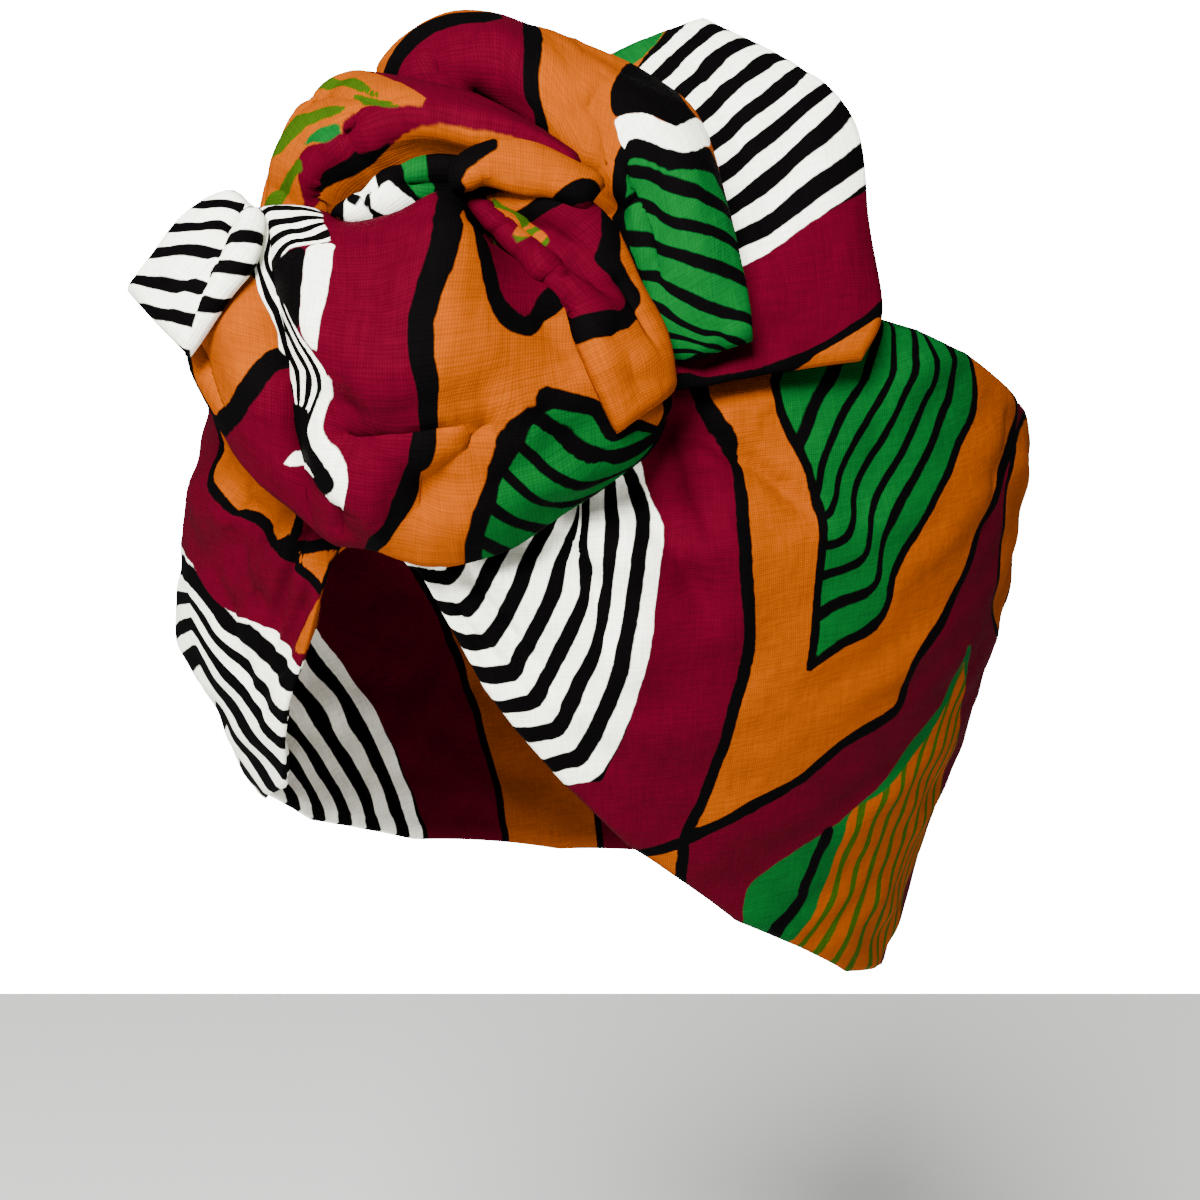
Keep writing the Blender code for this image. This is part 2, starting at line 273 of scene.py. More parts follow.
# the knot: its middle as right, up and out, its half sizes, the cells round and along it, its cloth
# laid flat, how far it stays off the band, its spiral lobes, their twist and depth, and the fine
# lines on each lobe, their depth and width. Its depths are shares of its size.
KNOT_MIDDLE = (-25, 66, 84)
KNOT_HALF_SIZE = (33, 36, 17)
KNOT_CELLS = (120, 48)
KNOT_CLOTH = (210, 90)
KNOT_CLEAR = 3.6
KNOT_LOBES = 5
KNOT_TWIST = 2.4
KNOT_LOBE_DEPTH = 0.055
LINES_ON_LOBE = 3
KNOT_LINE_DEPTH = 0.02
KNOT_LINE_WIDE = 0.25

# how a fold's section is curved: its bulge near an edge as a share of its middle's, how many parts
# of the breadth lie between an edge and there, and how far edge a is rounded back
FULLNESS = 0.62
SHOULDER_PARTS = 7
EDGE_ROUND = 2.2

# edge a turns back to the knot up to this share of the fold's length and stops over TURN_FADE of
# it, where it turns by more than LEAST_BACK. A narrow section reaches the knot less: one of
# FULL_SPAN of the widest or more reaches it fully.
TURNED_TO = 0.42
TURN_FADE = 0.14
LEAST_BACK = 0.05
FULL_SPAN = 0.6

# Each fold is a strip laid in sections. A section goes from edge a to edge b, and bulges out
# between them. right and up are read on the plane through the origin that faces the camera.
# columns: a right, a up, a out, b right, b up, b out, bulge
FRONT_FOLD = (
    (-86, 57, 98, -84.5, 51, 99, 0),
    (-80, 67, 102, -79, 39, 102, 4),
    (-74.5, 76, 104, -70, 25, 106, 9),
    (-71, 79, 105, -62.5, 18, 107.5, 8),
    (-67.5, 80, 106.5, -58, 13.5, 108, 4.5),
    (-62.5, 79, 110, -54.5, 11.5, 108.5, 12),
    (-54, 76, 114, -50.5, 11, 109.5, 16.5),
    (-41.5, 78, 120, -44.5, 10, 110, 18),
    (-30, 83.5, 119, -35, 7.5, 109, 20),
    (-20, 78, 110, -20.5, 11.5, 107, 21),
    (-6, 68, 108, 0, 23, 106, 13),
    (6, 58, 107, 10, 32, 104, 7),
    (13, 46, 105, 14.5, 42, 103, 1),
)

RIGHT_FOLD = (
    (-17, 85, 116, -28, 83, 118, 1.5),
    (-8, 85, 115, -21.5, 73, 119, 4),
    (1, 79, 113, -14, 66, 119, 5),
    (8, 65, 110, -7, 58, 121, 5),
    (13.5, 54, 109, -1.5, 45, 121, 4),
    (15, 43, 108, 3.5, 34.5, 116, 3),
)

INNER_FOLD = (
    (-31, 87, 121, -30, 84.5, 122, 1),
    (-25, 92, 120, -24, 85.5, 122, 2.5),
    (-16.5, 93.5, 118, -16, 83.5, 121, 3),
    (-8, 91, 117, -9, 83, 119, 2.5),
    (1, 86, 114, -3, 81, 117, 1.5),
)

CORE_TIP = (
    (-20, 90, 111, -25, 84, 110, 1),
    (-33, 92, 111, -35, 83.5, 110, 2),
    (-44, 89, 111, -42, 82.5, 112, 2),
    (-50, 84.5, 112, -46.5, 81, 112, 1.5),
    (-56, 80, 111, -53.5, 79.5, 111, 0.5),
)

ARCH_FOLD = (
    (-72, 66, 88, -60, 62, 92, 3),
    (-70.5, 82, 92, -55, 79, 100, 5),
    (-68, 91.5, 93, -57, 84, 104, 6),
    (-62.5, 101.5, 94, -54, 89, 107, 7),
    (-52, 108, 95, -46, 94, 110, 7),
    (-40, 106, 99, -37, 97.5, 112, 5),
    (-27, 102.5, 104, -25, 96, 114, 3),
    (-14, 96.5, 109, -14, 94.5, 114, 1.5),
    (-4, 90, 111, -5, 88.5, 113, 1),
)

TOP_LOOP = (
    (-46, 108, 84, -42, 103, 88, 3),
    (-40, 115, 84, -36, 101, 91, 7),
    (-30, 120, 84, -26, 98.5, 94, 10),
    (-16.5, 118, 84, -12, 94.5, 97, 11),
    (-2, 113.5, 84, -2, 87, 100, 11),
    (9.5, 108, 86, 3, 82, 101, 9),
    (19, 101, 90, 5, 77, 102, 7),
    (25.5, 82, 96, 9, 66, 103, 5),
    (30, 64, 100, 12, 55, 104, 3),
    (31.5, 54, 102, 21, 50.5, 104, 1),
)

LEFT_TAIL = (
    (-75, 84, 104, -70, 80, 109.5, 2),
    (-85, 79, 105, -71.5, 70, 115, 3),
    (-93, 70.5, 105, -77, 62.5, 115.5, 3),
    (-98, 64.5, 104, -85, 50.5, 111, 2),
)

BACK_PANEL = (
    (21, 120.5, 66, 0, 112, 74, 2),
    (39.5, 111, 67, 4, 101, 79, 3),
    (52, 99, 69, 8, 84, 85, 3),
    (55, 81, 72, 8, 69, 91, 3),
    (58.5, 60, 78, 8, 55, 97, 3),
    (54, 50, 84, 14, 44, 103, 2),
)

# sharp and soft folds in each piece: share of the length and of the breadth at each end,
# then how wide and how deep
FRONT_CREASES = (
    (0.42, 0.62, 0.80, 0.58, 3.0, -2.2),
    (0.50, 0.85, 0.85, 0.72, 3.5, -1.6),
    (0.62, 0.10, 0.78, 0.40, 5.0, -5.0),
)
RIGHT_CREASES = (
    (0.00, 0.52, 0.85, 0.50, 3.0, -1.6),
)
ARCH_CREASES = (
    (0.05, 0.42, 0.60, 0.42, 2.6, -3.0),
    (0.10, 0.78, 0.55, 0.80, 2.0, -1.6),
)
LOOP_CREASES = (
    (0.20, 0.80, 0.45, 0.50, 3.4, -2.0),
    (0.50, 0.90, 0.75, 0.35, 4.0, -2.0),
)
CORE_CREASES = (
    (0.10, 0.30, 0.90, 0.35, 2.0, -1.6),
    (0.00, 0.70, 0.70, 0.70, 2.0, -1.6),
)
TAIL_CREASES = ((0.05, 0.62, 1.0, 0.66, 1.6, -1.6),)
PANEL_CREASES = ((0.55, 0.75, 0.95, 0.55, 6.0, -1.6),)

# piece: sections, creases, how far edge a reaches on towards the knot and how far out the knot
# lies there, the same for edge b
FOLDS = {
    "rosette_front_fold": (FRONT_FOLD, FRONT_CREASES, 13, 84, 0, 84),
    "rosette_right_fold": (RIGHT_FOLD, RIGHT_CREASES, 0, 84, 0, 84),
    "rosette_inner_fold": (INNER_FOLD, (), 7, 84, 0, 84),
    "rosette_core_tip": (CORE_TIP, CORE_CREASES, 0, 84, 8, 84),
    "rosette_arch_fold": (ARCH_FOLD, ARCH_CREASES, 18, 84, 8, 84),
    "rosette_top_loop": (TOP_LOOP, LOOP_CREASES, 27, 56, 13, 84),
    "left_tail": (LEFT_TAIL, TAIL_CREASES, 0, 84, 0, 84),
    "back_panel": (BACK_PANEL, PANEL_CREASES, 0, 84, 12, 84),
}


def shape(dye, edge, line=0.0, second=None, share=0.5, guides=()):
    """One figure of the print: its dye, its edge, the width of its black outline, and, where it
    is striped, the stripes' dye and share and the lines that they follow, each with its count."""
    return {"dye": dye, "edge": edge, "line": line, "second": second, "share": share, "guides": guides}


# The print, as places in the photograph, right and down from its top left corner in its 1200 by
# 1200 frame. Places with three numbers are degrees from the knot, height and nought. Later figures
# lie over earlier ones.
PRINT = {}

# print of the band: the near side, what is seen of the far side, and the guessed side beyond it
PRINT["band orange"] = shape("orange", (
    (690, 380), (702, 398), (715, 420), (729, 440), (733, 460), (739, 480), (742, 500), (743, 520),
    (745, 540), (746, 560), (747, 580), (749, 600), (750, 620), (750, 640), (747, 660), (743, 680),
    (736, 700), (731, 720), (726, 740), (718, 760), (711, 780), (703, 800), (693, 820), (683, 842),
    (690, 838), (700, 833), (720, 824), (740, 813), (760, 802), (780, 792), (800, 780), (815, 768),
    (830, 755), (845, 742), (860, 733), (880, 722), (895, 712), (902, 700), (905, 685), (914, 664),
    (930, 640), (943, 620), (952, 600), (962, 580), (970, 560), (975, 540), (983, 520), (990, 510),
    (997, 495), (1000, 480), (1004, 460), (1012, 436), (1018, 410), (1010, 380), (900, 280), (800, 340),
), line=2.6)
PRINT["band corner"] = shape("orange", (
    (683, 843), (672, 846), (660, 850), (645, 853), (630, 852), (650, 890), (676, 895), (681, 868),
    (684, 850),
), line=2.6)
PRINT["band shard"] = shape("green", (
    (772, 380), (778, 400), (787, 428), (798, 447), (808, 468), (814, 490), (821, 512), (823, 524),
    (823, 540), (821, 560), (818, 590), (816, 620), (813, 650), (811, 662), (810, 668), (815, 664),
    (825, 657), (842, 644), (858, 637), (872, 630), (882, 619), (889, 602), (891, 580), (899, 560),
    (912, 540), (924, 520), (935, 500), (945, 480), (953, 460), (960, 440), (969, 423), (975, 410),
    (976, 395), (974, 375), (966, 350), (900, 270), (800, 330),
), line=1.9, second="black", share=0.32, guides=(
    (1, ((832, 380), (815, 405), (803, 440), (795, 462))),
    (2, ((880, 335), (870, 362), (862, 385), (848, 405), (835, 430), (825, 455), (821, 480), (815, 500))),
    (3, ((885, 318), (893, 345), (895, 368), (883, 395), (868, 420), (855, 440), (845, 460), (838, 480),
         (836, 500), (826, 516), (812, 520))),
    (4, ((905, 310), (915, 350), (915, 375), (903, 395), (893, 420), (882, 440), (868, 460), (857, 480),
         (853, 500), (855, 515), (850, 535), (835, 545), (815, 546))),
    (5, ((925, 320), (936, 360), (935, 385), (925, 400), (917, 420), (908, 440), (898, 460), (885, 480),
         (875, 500), (870, 520), (870, 540), (868, 555), (855, 565), (840, 570), (812, 579))),
    (6, ((945, 330), (953, 370), (950, 395), (940, 415), (933, 440), (923, 460), (913, 480), (900, 500),
         (890, 520), (882, 540), (880, 560), (880, 580), (870, 592), (850, 598), (835, 603), (808, 621))),
    (7, ((965, 340), (975, 375), (976, 400), (971, 421), (960, 440), (953, 460), (945, 480), (935, 500),
         (924, 520), (912, 540), (899, 560), (891, 580), (889, 602), (882, 617), (866, 632), (842, 644),
         (825, 657), (808, 674))),
))
PRINT["band chevrons"] = shape("white", (
    (560, 440), (640, 455), (645, 485), (655, 508), (663, 522), (664, 540), (660, 562), (657, 590),
    (654, 620), (652, 640), (648, 660), (642, 682), (634, 710), (625, 733), (615, 755), (603, 779),
    (601, 782), (590, 782), (572, 784), (556, 786), (480, 740), (380, 560), (440, 500),
), second="black", share=0.5, guides=(
    (1, ((480, 520), (470, 540), (462, 555), (452, 576), (440, 578), (415, 577))),
    (2, ((515, 525), (508, 540), (495, 560), (484, 582), (472, 603), (464, 611), (450, 611), (426, 610))),
    (3, ((552, 515), (545, 530), (528, 560), (513, 600), (501, 625), (488, 643), (470, 644), (440, 643))),
    (4, ((585, 500), (578, 530), (563, 560), (551, 600), (540, 622), (528, 645), (515, 674), (500, 676),
         (470, 675))),
    (5, ((584, 480), (582, 510), (579, 545), (588, 580), (586, 600), (576, 620), (566, 640), (555, 662),
         (544, 682), (533, 703), (515, 705), (490, 704))),
    (6, ((612, 470), (612, 520), (609, 560), (604, 600), (602, 625), (597, 650), (588, 668), (579, 682),
         (572, 700), (563, 722), (555, 732), (540, 733), (510, 731))),
    (7, ((624, 470), (640, 505), (644, 525), (638, 550), (635, 580), (632, 600), (624, 640), (617, 680),
         (610, 700), (600, 720), (590, 742), (580, 759), (562, 761), (530, 760))),
))
PRINT["band corner green"] = shape("green", (
    (742, 925), (742, 912), (746, 892), (752, 882), (775, 864), (800, 848), (825, 832), (845, 817),
    (865, 800), (885, 780), (898, 762), (912, 740), (928, 722), (945, 700), (958, 670), (969, 635),
    (968, 680), (880, 990), (800, 990),
))
PRINT["band corner vein"] = shape("black", (
    (823, 828), (815, 850), (807, 870), (799, 884), (797, 898), (785, 912), (768, 926), (760, 950),
    (772, 950), (782, 930), (797, 915), (807, 900), (809, 886), (817, 870), (826, 850), (835, 825),
))
PRINT["band fine stripes"] = shape("orange", (
    (848, 812), (842, 840), (832, 868), (822, 890), (815, 915), (800, 932), (780, 946), (800, 1000),
    (880, 1000), (900, 930), (930, 840), (955, 750), (966, 690), (966, 655), (955, 690), (925, 740),
    (905, 768), (880, 795),
), second="olive", share=0.34, guides=(
    (1, ((880, 760), (862, 810), (850, 845), (840, 872), (833, 900), (820, 922), (795, 950))),
    (2, ((905, 740), (886, 795), (870, 832), (858, 865), (851, 893), (840, 915), (812, 955))),
    (3, ((925, 715), (903, 775), (887, 820), (873, 860), (865, 890), (854, 920), (830, 965))),
    (4, ((940, 700), (917, 765), (902, 812), (888, 855), (879, 885), (867, 922), (848, 970))),
    (5, ((952, 690), (931, 755), (915, 805), (900, 852), (890, 886), (878, 925), (860, 980))),
))
PRINT["band rim orange"] = shape("orange", (
    (1022, 418), (1012, 450), (1007, 480), (1004, 510), (1001, 545), (997, 580), (993, 620), (1010, 640),
    (1030, 560), (1060, 450), (1050, 400),
), line=1.6)
PRINT["far wedge"] = shape("orange", (
    (202, 388), (213, 412), (219, 432), (221, 452), (212, 468), (209, 484), (222, 500), (245, 514),
    (270, 531), (290, 548), (305, 505), (250, 430), (220, 385),
), line=2.0)
PRINT["far triangle"] = shape("orange", (
    (275, 545), (300, 547), (352, 541), (338, 566), (328, 592), (316, 583), (298, 567), (285, 556),
), line=2.2)
PRINT["far waves"] = shape("white", (
    (180, 545), (190, 560), (200, 577), (211, 596), (225, 610), (240, 618), (258, 623), (270, 628),
    (281, 640), (292, 652), (312, 668), (322, 720), (300, 800), (-60, -95, 0), (-112, -95, 0),
    (-108, -70, 0), (-104, -45, 0), (-97, -20, 0), (-87, 0, 0), (-76, 12, 0), (-67, 15, 0),
), second="black", share=0.5, guides=(
    (1, ((-104, -90, 0), (-100, -50, 0), (-93, -22, 0), (-84, -3, 0), (-72, 8, 0), (183, 564), (195, 582),
         (208, 602), (222, 621), (235, 631), (255, 638), (270, 655), (290, 682))),
    (2, ((-97, -90, 0), (-93, -55, 0), (-87, -30, 0), (-79, -12, 0), (-70, -2, 0), (186, 592), (200, 614),
         (220, 643), (238, 658), (252, 671), (262, 690), (276, 712))),
    (3, ((-90, -90, 0), (-86, -60, 0), (-81, -38, 0), (-75, -21, 0), (-68, -11, 0), (189, 618), (203, 642),
         (220, 668), (240, 687), (252, 705), (266, 730))),
    (4, ((-83, -90, 0), (-79, -64, 0), (-75, -45, 0), (-70, -29, 0), (-65, -19, 0), (195, 645), (205, 665),
         (222, 692), (240, 715), (256, 742))),
))
PRINT["far hem"] = shape("orange", (
    (356, 540), (342, 545), (331, 572), (319, 600), (306, 625), (294, 650), (310, 655), (340, 600),
    (362, 560),
))
PRINT["side orange"] = shape("orange", (
    (-84, 90, 0), (-90, 52, 0), (-101, 26, 0), (-112, 8, 0), (-120, -14, 0), (-124, -40, 0), (-127, -68, 0),
    (-128, -95, 0), (-151, -95, 0), (-148, -62, 0), (-144, -30, 0), (-146, -2, 0), (-144, 24, 0),
    (-136, 50, 0), (-130, 90, 0),
), line=2.6)
PRINT["side shard"] = shape("green", (
    (-98, 90, 0), (-106, 50, 0), (-115, 26, 0), (-122, 4, 0), (-129, -24, 0), (-133, -8, 0), (-135, 16, 0),
    (-130, 42, 0), (-122, 90, 0),
), line=1.9, second="black", share=0.34, guides=(
    (0, ((-97, 95, 0), (-105, 50, 0), (-114, 26, 0), (-121, 4, 0), (-129, -30, 0))),
    (6, ((-121, 95, 0), (-130, 42, 0), (-135, 16, 0), (-133, -8, 0), (-129.5, -30, 0))),
))
PRINT["side chevrons"] = shape("white", (
    (-164, -95, 0), (-162, -58, 0), (-159, -28, 0), (-162, -2, 0), (-171, 8, 0), (-184, 4, 0),
    (-190, -95, 0),
), second="black", share=0.5, guides=(
    (0.6, ((-162, -100, 0), (-160, -58, 0), (-157, -28, 0), (-160, 2, 0), (-171, 12, 0), (-190, 8, 0))),
    (6.6, ((-181, -100, 0), (-178, -70, 0), (-177, -50, 0), (-178, -44, 0), (-182, -40, 0),
         (-190, -40, 0))),
))

# print of the front fold
PRINT["front orange"] = shape("orange", (
    (452, 190), (449, 215), (446, 240), (440, 260), (432, 280), (425, 300), (421, 320), (420, 340),
    (422, 360), (426, 380), (428, 400), (428, 420), (425, 440), (418, 460), (411, 480), (403, 500),
    (393, 520), (380, 540), (365, 560), (420, 590), (520, 580), (640, 520), (700, 440), (700, 360),
    (640, 280), (560, 200),
), line=3.6)
PRINT["front left"] = shape("orange", (
    (170, 330), (190, 280), (240, 255), (268, 285), (285, 330), (295, 352), (285, 356), (273, 360),
    (262, 371), (252, 386), (240, 401), (226, 417), (215, 430), (190, 410), (175, 380),
), line=3.0)
PRINT["front valley"] = shape("white", (
    (338, 238), (308, 246), (284, 253), (281, 275), (286, 305), (298, 332), (312, 350), (325, 368),
    (333, 385), (329, 400), (322, 416), (321, 432), (308, 446), (300, 446), (299, 425), (294, 400),
    (288, 380), (280, 356), (277, 330), (268, 312), (256, 285), (250, 250), (255, 205), (290, 185),
    (330, 205),
), second="black", share=0.52, guides=(
    (0.5, ((352, 232), (336, 239), (308, 246), (286, 251), (280, 275), (285, 306), (298, 334), (313, 352),
         (325, 372), (324, 390), (316, 408), (310, 430), (310, 450))),
    (1.5, ((340, 222), (305, 238), (283, 243), (274, 258), (273, 280), (282, 312), (296, 340), (309, 360),
         (316, 380), (312, 398), (306, 415), (303, 432), (304, 450))),
    (4.5, ((300, 190), (270, 202), (257, 225), (254, 258), (259, 290), (270, 320), (277, 345), (284, 365),
         (290, 390), (295, 410), (299, 430), (301, 450))),
))
PRINT["front dark"] = shape("black", (
    (281, 258), (288, 252), (306, 248), (303, 268), (300, 300), (300, 334), (290, 318), (283, 300),
    (280, 278),
))
PRINT["front strip"] = shape("white", (
    (306, 246), (336, 241), (332, 265), (326, 295), (320, 320), (318, 340), (318, 354), (308, 342),
    (300, 330), (300, 300), (303, 270),
))
PRINT["front hook"] = shape("white", (
    (325, 375), (321, 390), (315, 405), (310, 422), (308, 436), (309, 446), (315, 457), (324, 469),
    (331, 480), (333, 488), (326, 496), (332, 505), (340, 502), (346, 494), (348, 484), (346, 471),
    (341, 458), (335, 448), (326, 440), (322, 432), (322, 418), (328, 403), (333, 388), (331, 374),
))
PRINT["front hook dark"] = shape("black", (
    (300, 392), (309, 408), (307, 424), (308, 438), (312, 449), (322, 463), (332, 476), (336, 487),
    (331, 496), (322, 491), (312, 477), (303, 461), (297, 447), (294, 430), (295, 410),
))
PRINT["front white"] = shape("white", (
    (283, 466), (289, 457), (299, 449), (303, 457), (309, 466), (316, 480), (308, 470), (299, 466),
))
PRINT["front recess"] = shape("burgundy", (
    (455, 170), (463, 190), (468, 205), (475, 220), (482, 240), (487, 260), (491, 280), (496, 300),
    (506, 316), (519, 325), (531, 326), (541, 317), (552, 303), (560, 290), (590, 280), (560, 220),
    (500, 170),
), line=2.8)
PRINT["front green"] = shape("green", (
    (544, 398), (560, 400), (580, 404), (598, 408), (606, 424), (613, 437), (626, 432), (642, 423),
    (668, 423), (700, 430), (660, 520), (560, 570), (470, 575), (472, 548), (480, 520), (488, 500),
    (495, 478), (505, 455), (513, 436), (524, 419), (541, 412),
), line=2.4, second="black", share=0.34, guides=(
    (0.5, ((520, 378), (545, 391), (568, 399), (596, 402), (614, 428), (650, 410), (690, 405))),
    (1, ((515, 408), (535, 420), (555, 430), (565, 443), (576, 455), (590, 461), (604, 456), (618, 461),
         (645, 448), (670, 436))),
    (2, ((500, 430), (515, 440), (530, 454), (548, 473), (568, 482), (590, 485), (612, 477), (640, 465))),
    (3, ((485, 455), (503, 470), (520, 487), (545, 503), (570, 507), (600, 500))),
    (4, ((475, 490), (490, 505), (506, 516), (526, 525), (550, 528), (580, 528))),
    (5, ((462, 525), (478, 538), (495, 547), (520, 552), (550, 552))),
))

# print of the right fold
PRINT["gathered burgundy"] = shape("burgundy", (
    (440, 170), (536, 208), (560, 194), (583, 186), (599, 200), (611, 222), (612, 245), (607, 261),
    (618, 278), (632, 298), (630, 318), (602, 323), (576, 330), (540, 340), (480, 300),
), line=3.0)
PRINT["hole stripes"] = shape("orange", (
    (490, 196), (503, 203), (520, 214), (536, 227), (549, 241), (544, 253), (530, 256), (521, 246),
    (511, 232), (499, 214),
), second="olive", share=0.5, guides=(
    (1, ((480, 222), (500, 220), (520, 226), (545, 222))),
    (2, ((480, 246), (505, 243), (525, 254), (550, 240))),
))

# print of the inner fold
PRINT["inner patch"] = shape("burgundy", (
    (536, 214), (555, 199), (581, 188), (598, 198), (613, 214), (614, 240), (560, 245),
), line=3.0)
PRINT["inner dark"] = shape("black", (
    (428, 138), (486, 134), (500, 142), (494, 152), (476, 164), (459, 178), (470, 188), (440, 198),
))

# print of the small end in the middle of the swirl
PRINT["tip white"] = shape("white", (
    (374, 158), (396, 156), (386, 174),
))
PRINT["tip white low"] = shape("white", (
    (388, 178), (372, 193), (369, 207), (384, 215), (402, 216), (424, 206), (404, 197), (394, 187),
))
PRINT["tip white left"] = shape("white", (
    (364, 170), (380, 180), (366, 196), (361, 206), (375, 218), (355, 228), (344, 236), (335, 228),
    (346, 206), (353, 190),
))
PRINT["tip bar"] = shape("black", (
    (350, 190), (362, 198), (368, 203), (362, 210), (346, 203),
))
PRINT["tip green"] = shape("green", (
    (404, 151), (429, 140), (425, 160), (431, 180), (437, 196), (420, 200), (408, 186), (403, 166),
))

# print of the fold that arches over the swirl, and a black patch of painted shade on its shadow side
PRINT["arch orange"] = shape("orange", (
    (240, 230), (245, 170), (280, 100), (330, 60), (365, 55), (405, 85), (432, 108), (390, 106), (356, 109),
    (346, 118), (340, 132), (322, 144), (303, 150), (300, 180), (303, 225), (280, 245),
))
PRINT["arch stripe low"] = shape("olive", (
    (262, 212), (274, 192), (290, 170), (303, 158), (302, 172), (290, 192), (278, 214),
))
PRINT["arch stripe left"] = shape("olive", (
    (250, 172), (266, 152), (282, 132), (303, 116), (330, 106), (350, 108), (336, 116), (312, 124),
    (295, 138), (278, 158), (262, 184),
))
PRINT["arch stripe top"] = shape("olive", (
    (290, 98), (305, 84), (325, 76), (350, 78), (372, 88), (388, 98), (376, 98), (352, 89), (325, 88),
    (306, 98),
))
PRINT["arch leaf"] = shape("green", (
    (301, 149), (310, 137), (330, 127), (343, 124), (338, 136), (322, 145),
))
PRINT["arch point"] = shape("olive", (
    (350, 96), (366, 95), (385, 101), (402, 108), (380, 107), (362, 104),
))
# painted shadow: a black patch where the arch's shadow side falls, not part of the print
PRINT["arch painted shadow"] = shape("black", (
    (318, 184), (326, 170), (345, 161), (362, 154), (380, 148), (392, 140), (388, 154), (372, 167),
    (352, 177), (335, 184), (322, 196),
))
PRINT["arch hem"] = shape("orange", (
    (298, 246), (306, 214), (318, 194), (335, 184), (352, 177), (372, 166), (385, 151), (397, 137),
    (422, 127), (450, 123), (485, 128), (520, 141), (555, 161), (590, 186), (600, 220), (560, 200),
    (520, 185), (480, 172), (440, 166), (400, 172), (372, 190), (350, 218), (330, 246),
))

# print of the top loop and its tail
PRINT["loop burgundy"] = shape("burgundy", (
    (490, -20), (465, 12), (440, 18), (418, 32), (400, 52), (390, 75), (393, 92), (402, 110), (440, 150),
    (520, 170), (541, 147), (546, 124), (538, 102), (532, 80), (531, 50), (534, 20), (540, -20),
), line=3.0)
PRINT["loop rim"] = shape("orange", (
    (350, 120), (350, 50), (380, 5), (430, -20), (505, -30), (505, 14), (467, 15), (435, 21), (411, 34),
    (393, 54), (387, 75), (389, 98),
))
PRINT["loop rim line"] = shape("black", (
    (386, 99), (384, 75), (391, 53), (409, 32), (434, 18), (467, 12), (505, 11), (505, 22), (470, 23),
    (441, 30), (419, 44), (403, 62), (397, 80), (400, 98),
))
PRINT["loop green"] = shape("green", (
    (622, 160), (632, 145), (656, 151), (680, 160), (720, 166), (775, 338), (745, 352), (735, 366),
    (690, 364), (660, 350), (640, 300), (625, 250), (616, 214), (617, 185),
), line=3.2, second="black", share=0.38, guides=(
    (1, ((600, 166), (630, 173), (660, 181), (695, 195), (740, 214))),
    (2, ((600, 202), (625, 206), (655, 213), (690, 228), (750, 246))),
    (3, ((605, 232), (630, 240), (660, 250), (700, 262), (760, 276))),
    (4, ((615, 262), (640, 275), (672, 292), (710, 308), (765, 324))),
    (5, ((630, 288), (655, 305), (682, 325), (710, 338), (765, 358))),
))
PRINT["loop blob"] = shape("black", (
    (612, 106), (611, 90), (618, 74), (630, 62), (645, 58), (660, 66), (672, 85), (686, 106), (700, 122),
    (679, 130), (665, 122), (648, 114), (630, 112), (617, 117),
))
PRINT["loop white"] = shape("white", (
    (615, 118), (626, 113), (646, 113), (662, 121), (679, 129), (700, 118), (712, 146), (690, 154),
    (672, 150), (655, 143), (640, 136), (629, 138), (625, 152), (620, 138),
))

# print of the left tail
PRINT["tail stripes"] = shape("white", (
    (80, 160), (262, 150), (246, 204), (236, 226), (222, 255), (208, 282), (198, 305), (188, 340),
    (185, 410), (90, 400),
), second="black", share=0.42, guides=(
    (1, ((150, 232), (190, 229), (228, 226), (260, 223))),
    (2, ((120, 252), (160, 252), (215, 254), (250, 256))),
    (3, ((110, 278), (135, 280), (195, 287), (240, 293))),
    (4, ((105, 300), (130, 303), (185, 316), (230, 327))),
    (5, ((110, 330), (150, 340), (190, 352), (230, 362))),
))
PRINT["tail stripes right"] = shape("white", (
    (262, 150), (300, 170), (290, 260), (250, 300), (215, 325), (188, 340), (198, 305), (208, 282),
    (222, 255), (236, 226), (246, 204),
), second="black", share=0.36, guides=(
    (1, ((215, 214), (235, 212), (265, 214))),
    (2, ((205, 243), (225, 244), (262, 241))),
    (3, ((190, 272), (205, 272), (250, 267))),
    (4, ((180, 303), (195, 304), (240, 300))),
))

# print of the back panel
PRINT["panel burgundy"] = shape("burgundy", (
    (900, 160), (862, 185), (700, 270), (620, 330), (640, 372), (675, 380), (700, 386), (735, 381),
    (770, 372), (800, 359), (830, 343), (860, 323), (895, 298), (920, 240),
), line=2.6)
PRINT["panel stripes"] = shape("white", (
    (640, 62), (652, 46), (668, 27), (700, -10), (780, 10), (880, 80), (900, 165), (862, 186), (840, 202),
    (807, 226), (777, 248), (742, 267), (700, 285), (630, 260), (620, 100),
), second="black", share=0.52, guides=(
    (1, ((630, 102), (660, 73), (685, 50), (712, 27), (740, 2))),
    (2, ((645, 127), (675, 98), (700, 75), (726, 50), (760, 18))),
    (3, ((660, 155), (692, 125), (718, 99), (745, 76), (768, 57), (800, 30))),
    (4, ((670, 180), (703, 152), (735, 124), (765, 100), (795, 77), (825, 52))),
    (5, ((680, 205), (716, 178), (745, 153), (780, 125), (812, 100), (850, 68))),
    (6, ((690, 232), (725, 210), (760, 185), (800, 152), (830, 127), (870, 95))),
    (7, ((700, 258), (737, 240), (770, 225), (800, 203), (830, 178), (880, 135))),
))
PRINT["panel sliver"] = shape("green", (
    (600, 90), (620, 40), (665, 15), (668, 27), (652, 46), (638, 63),
))

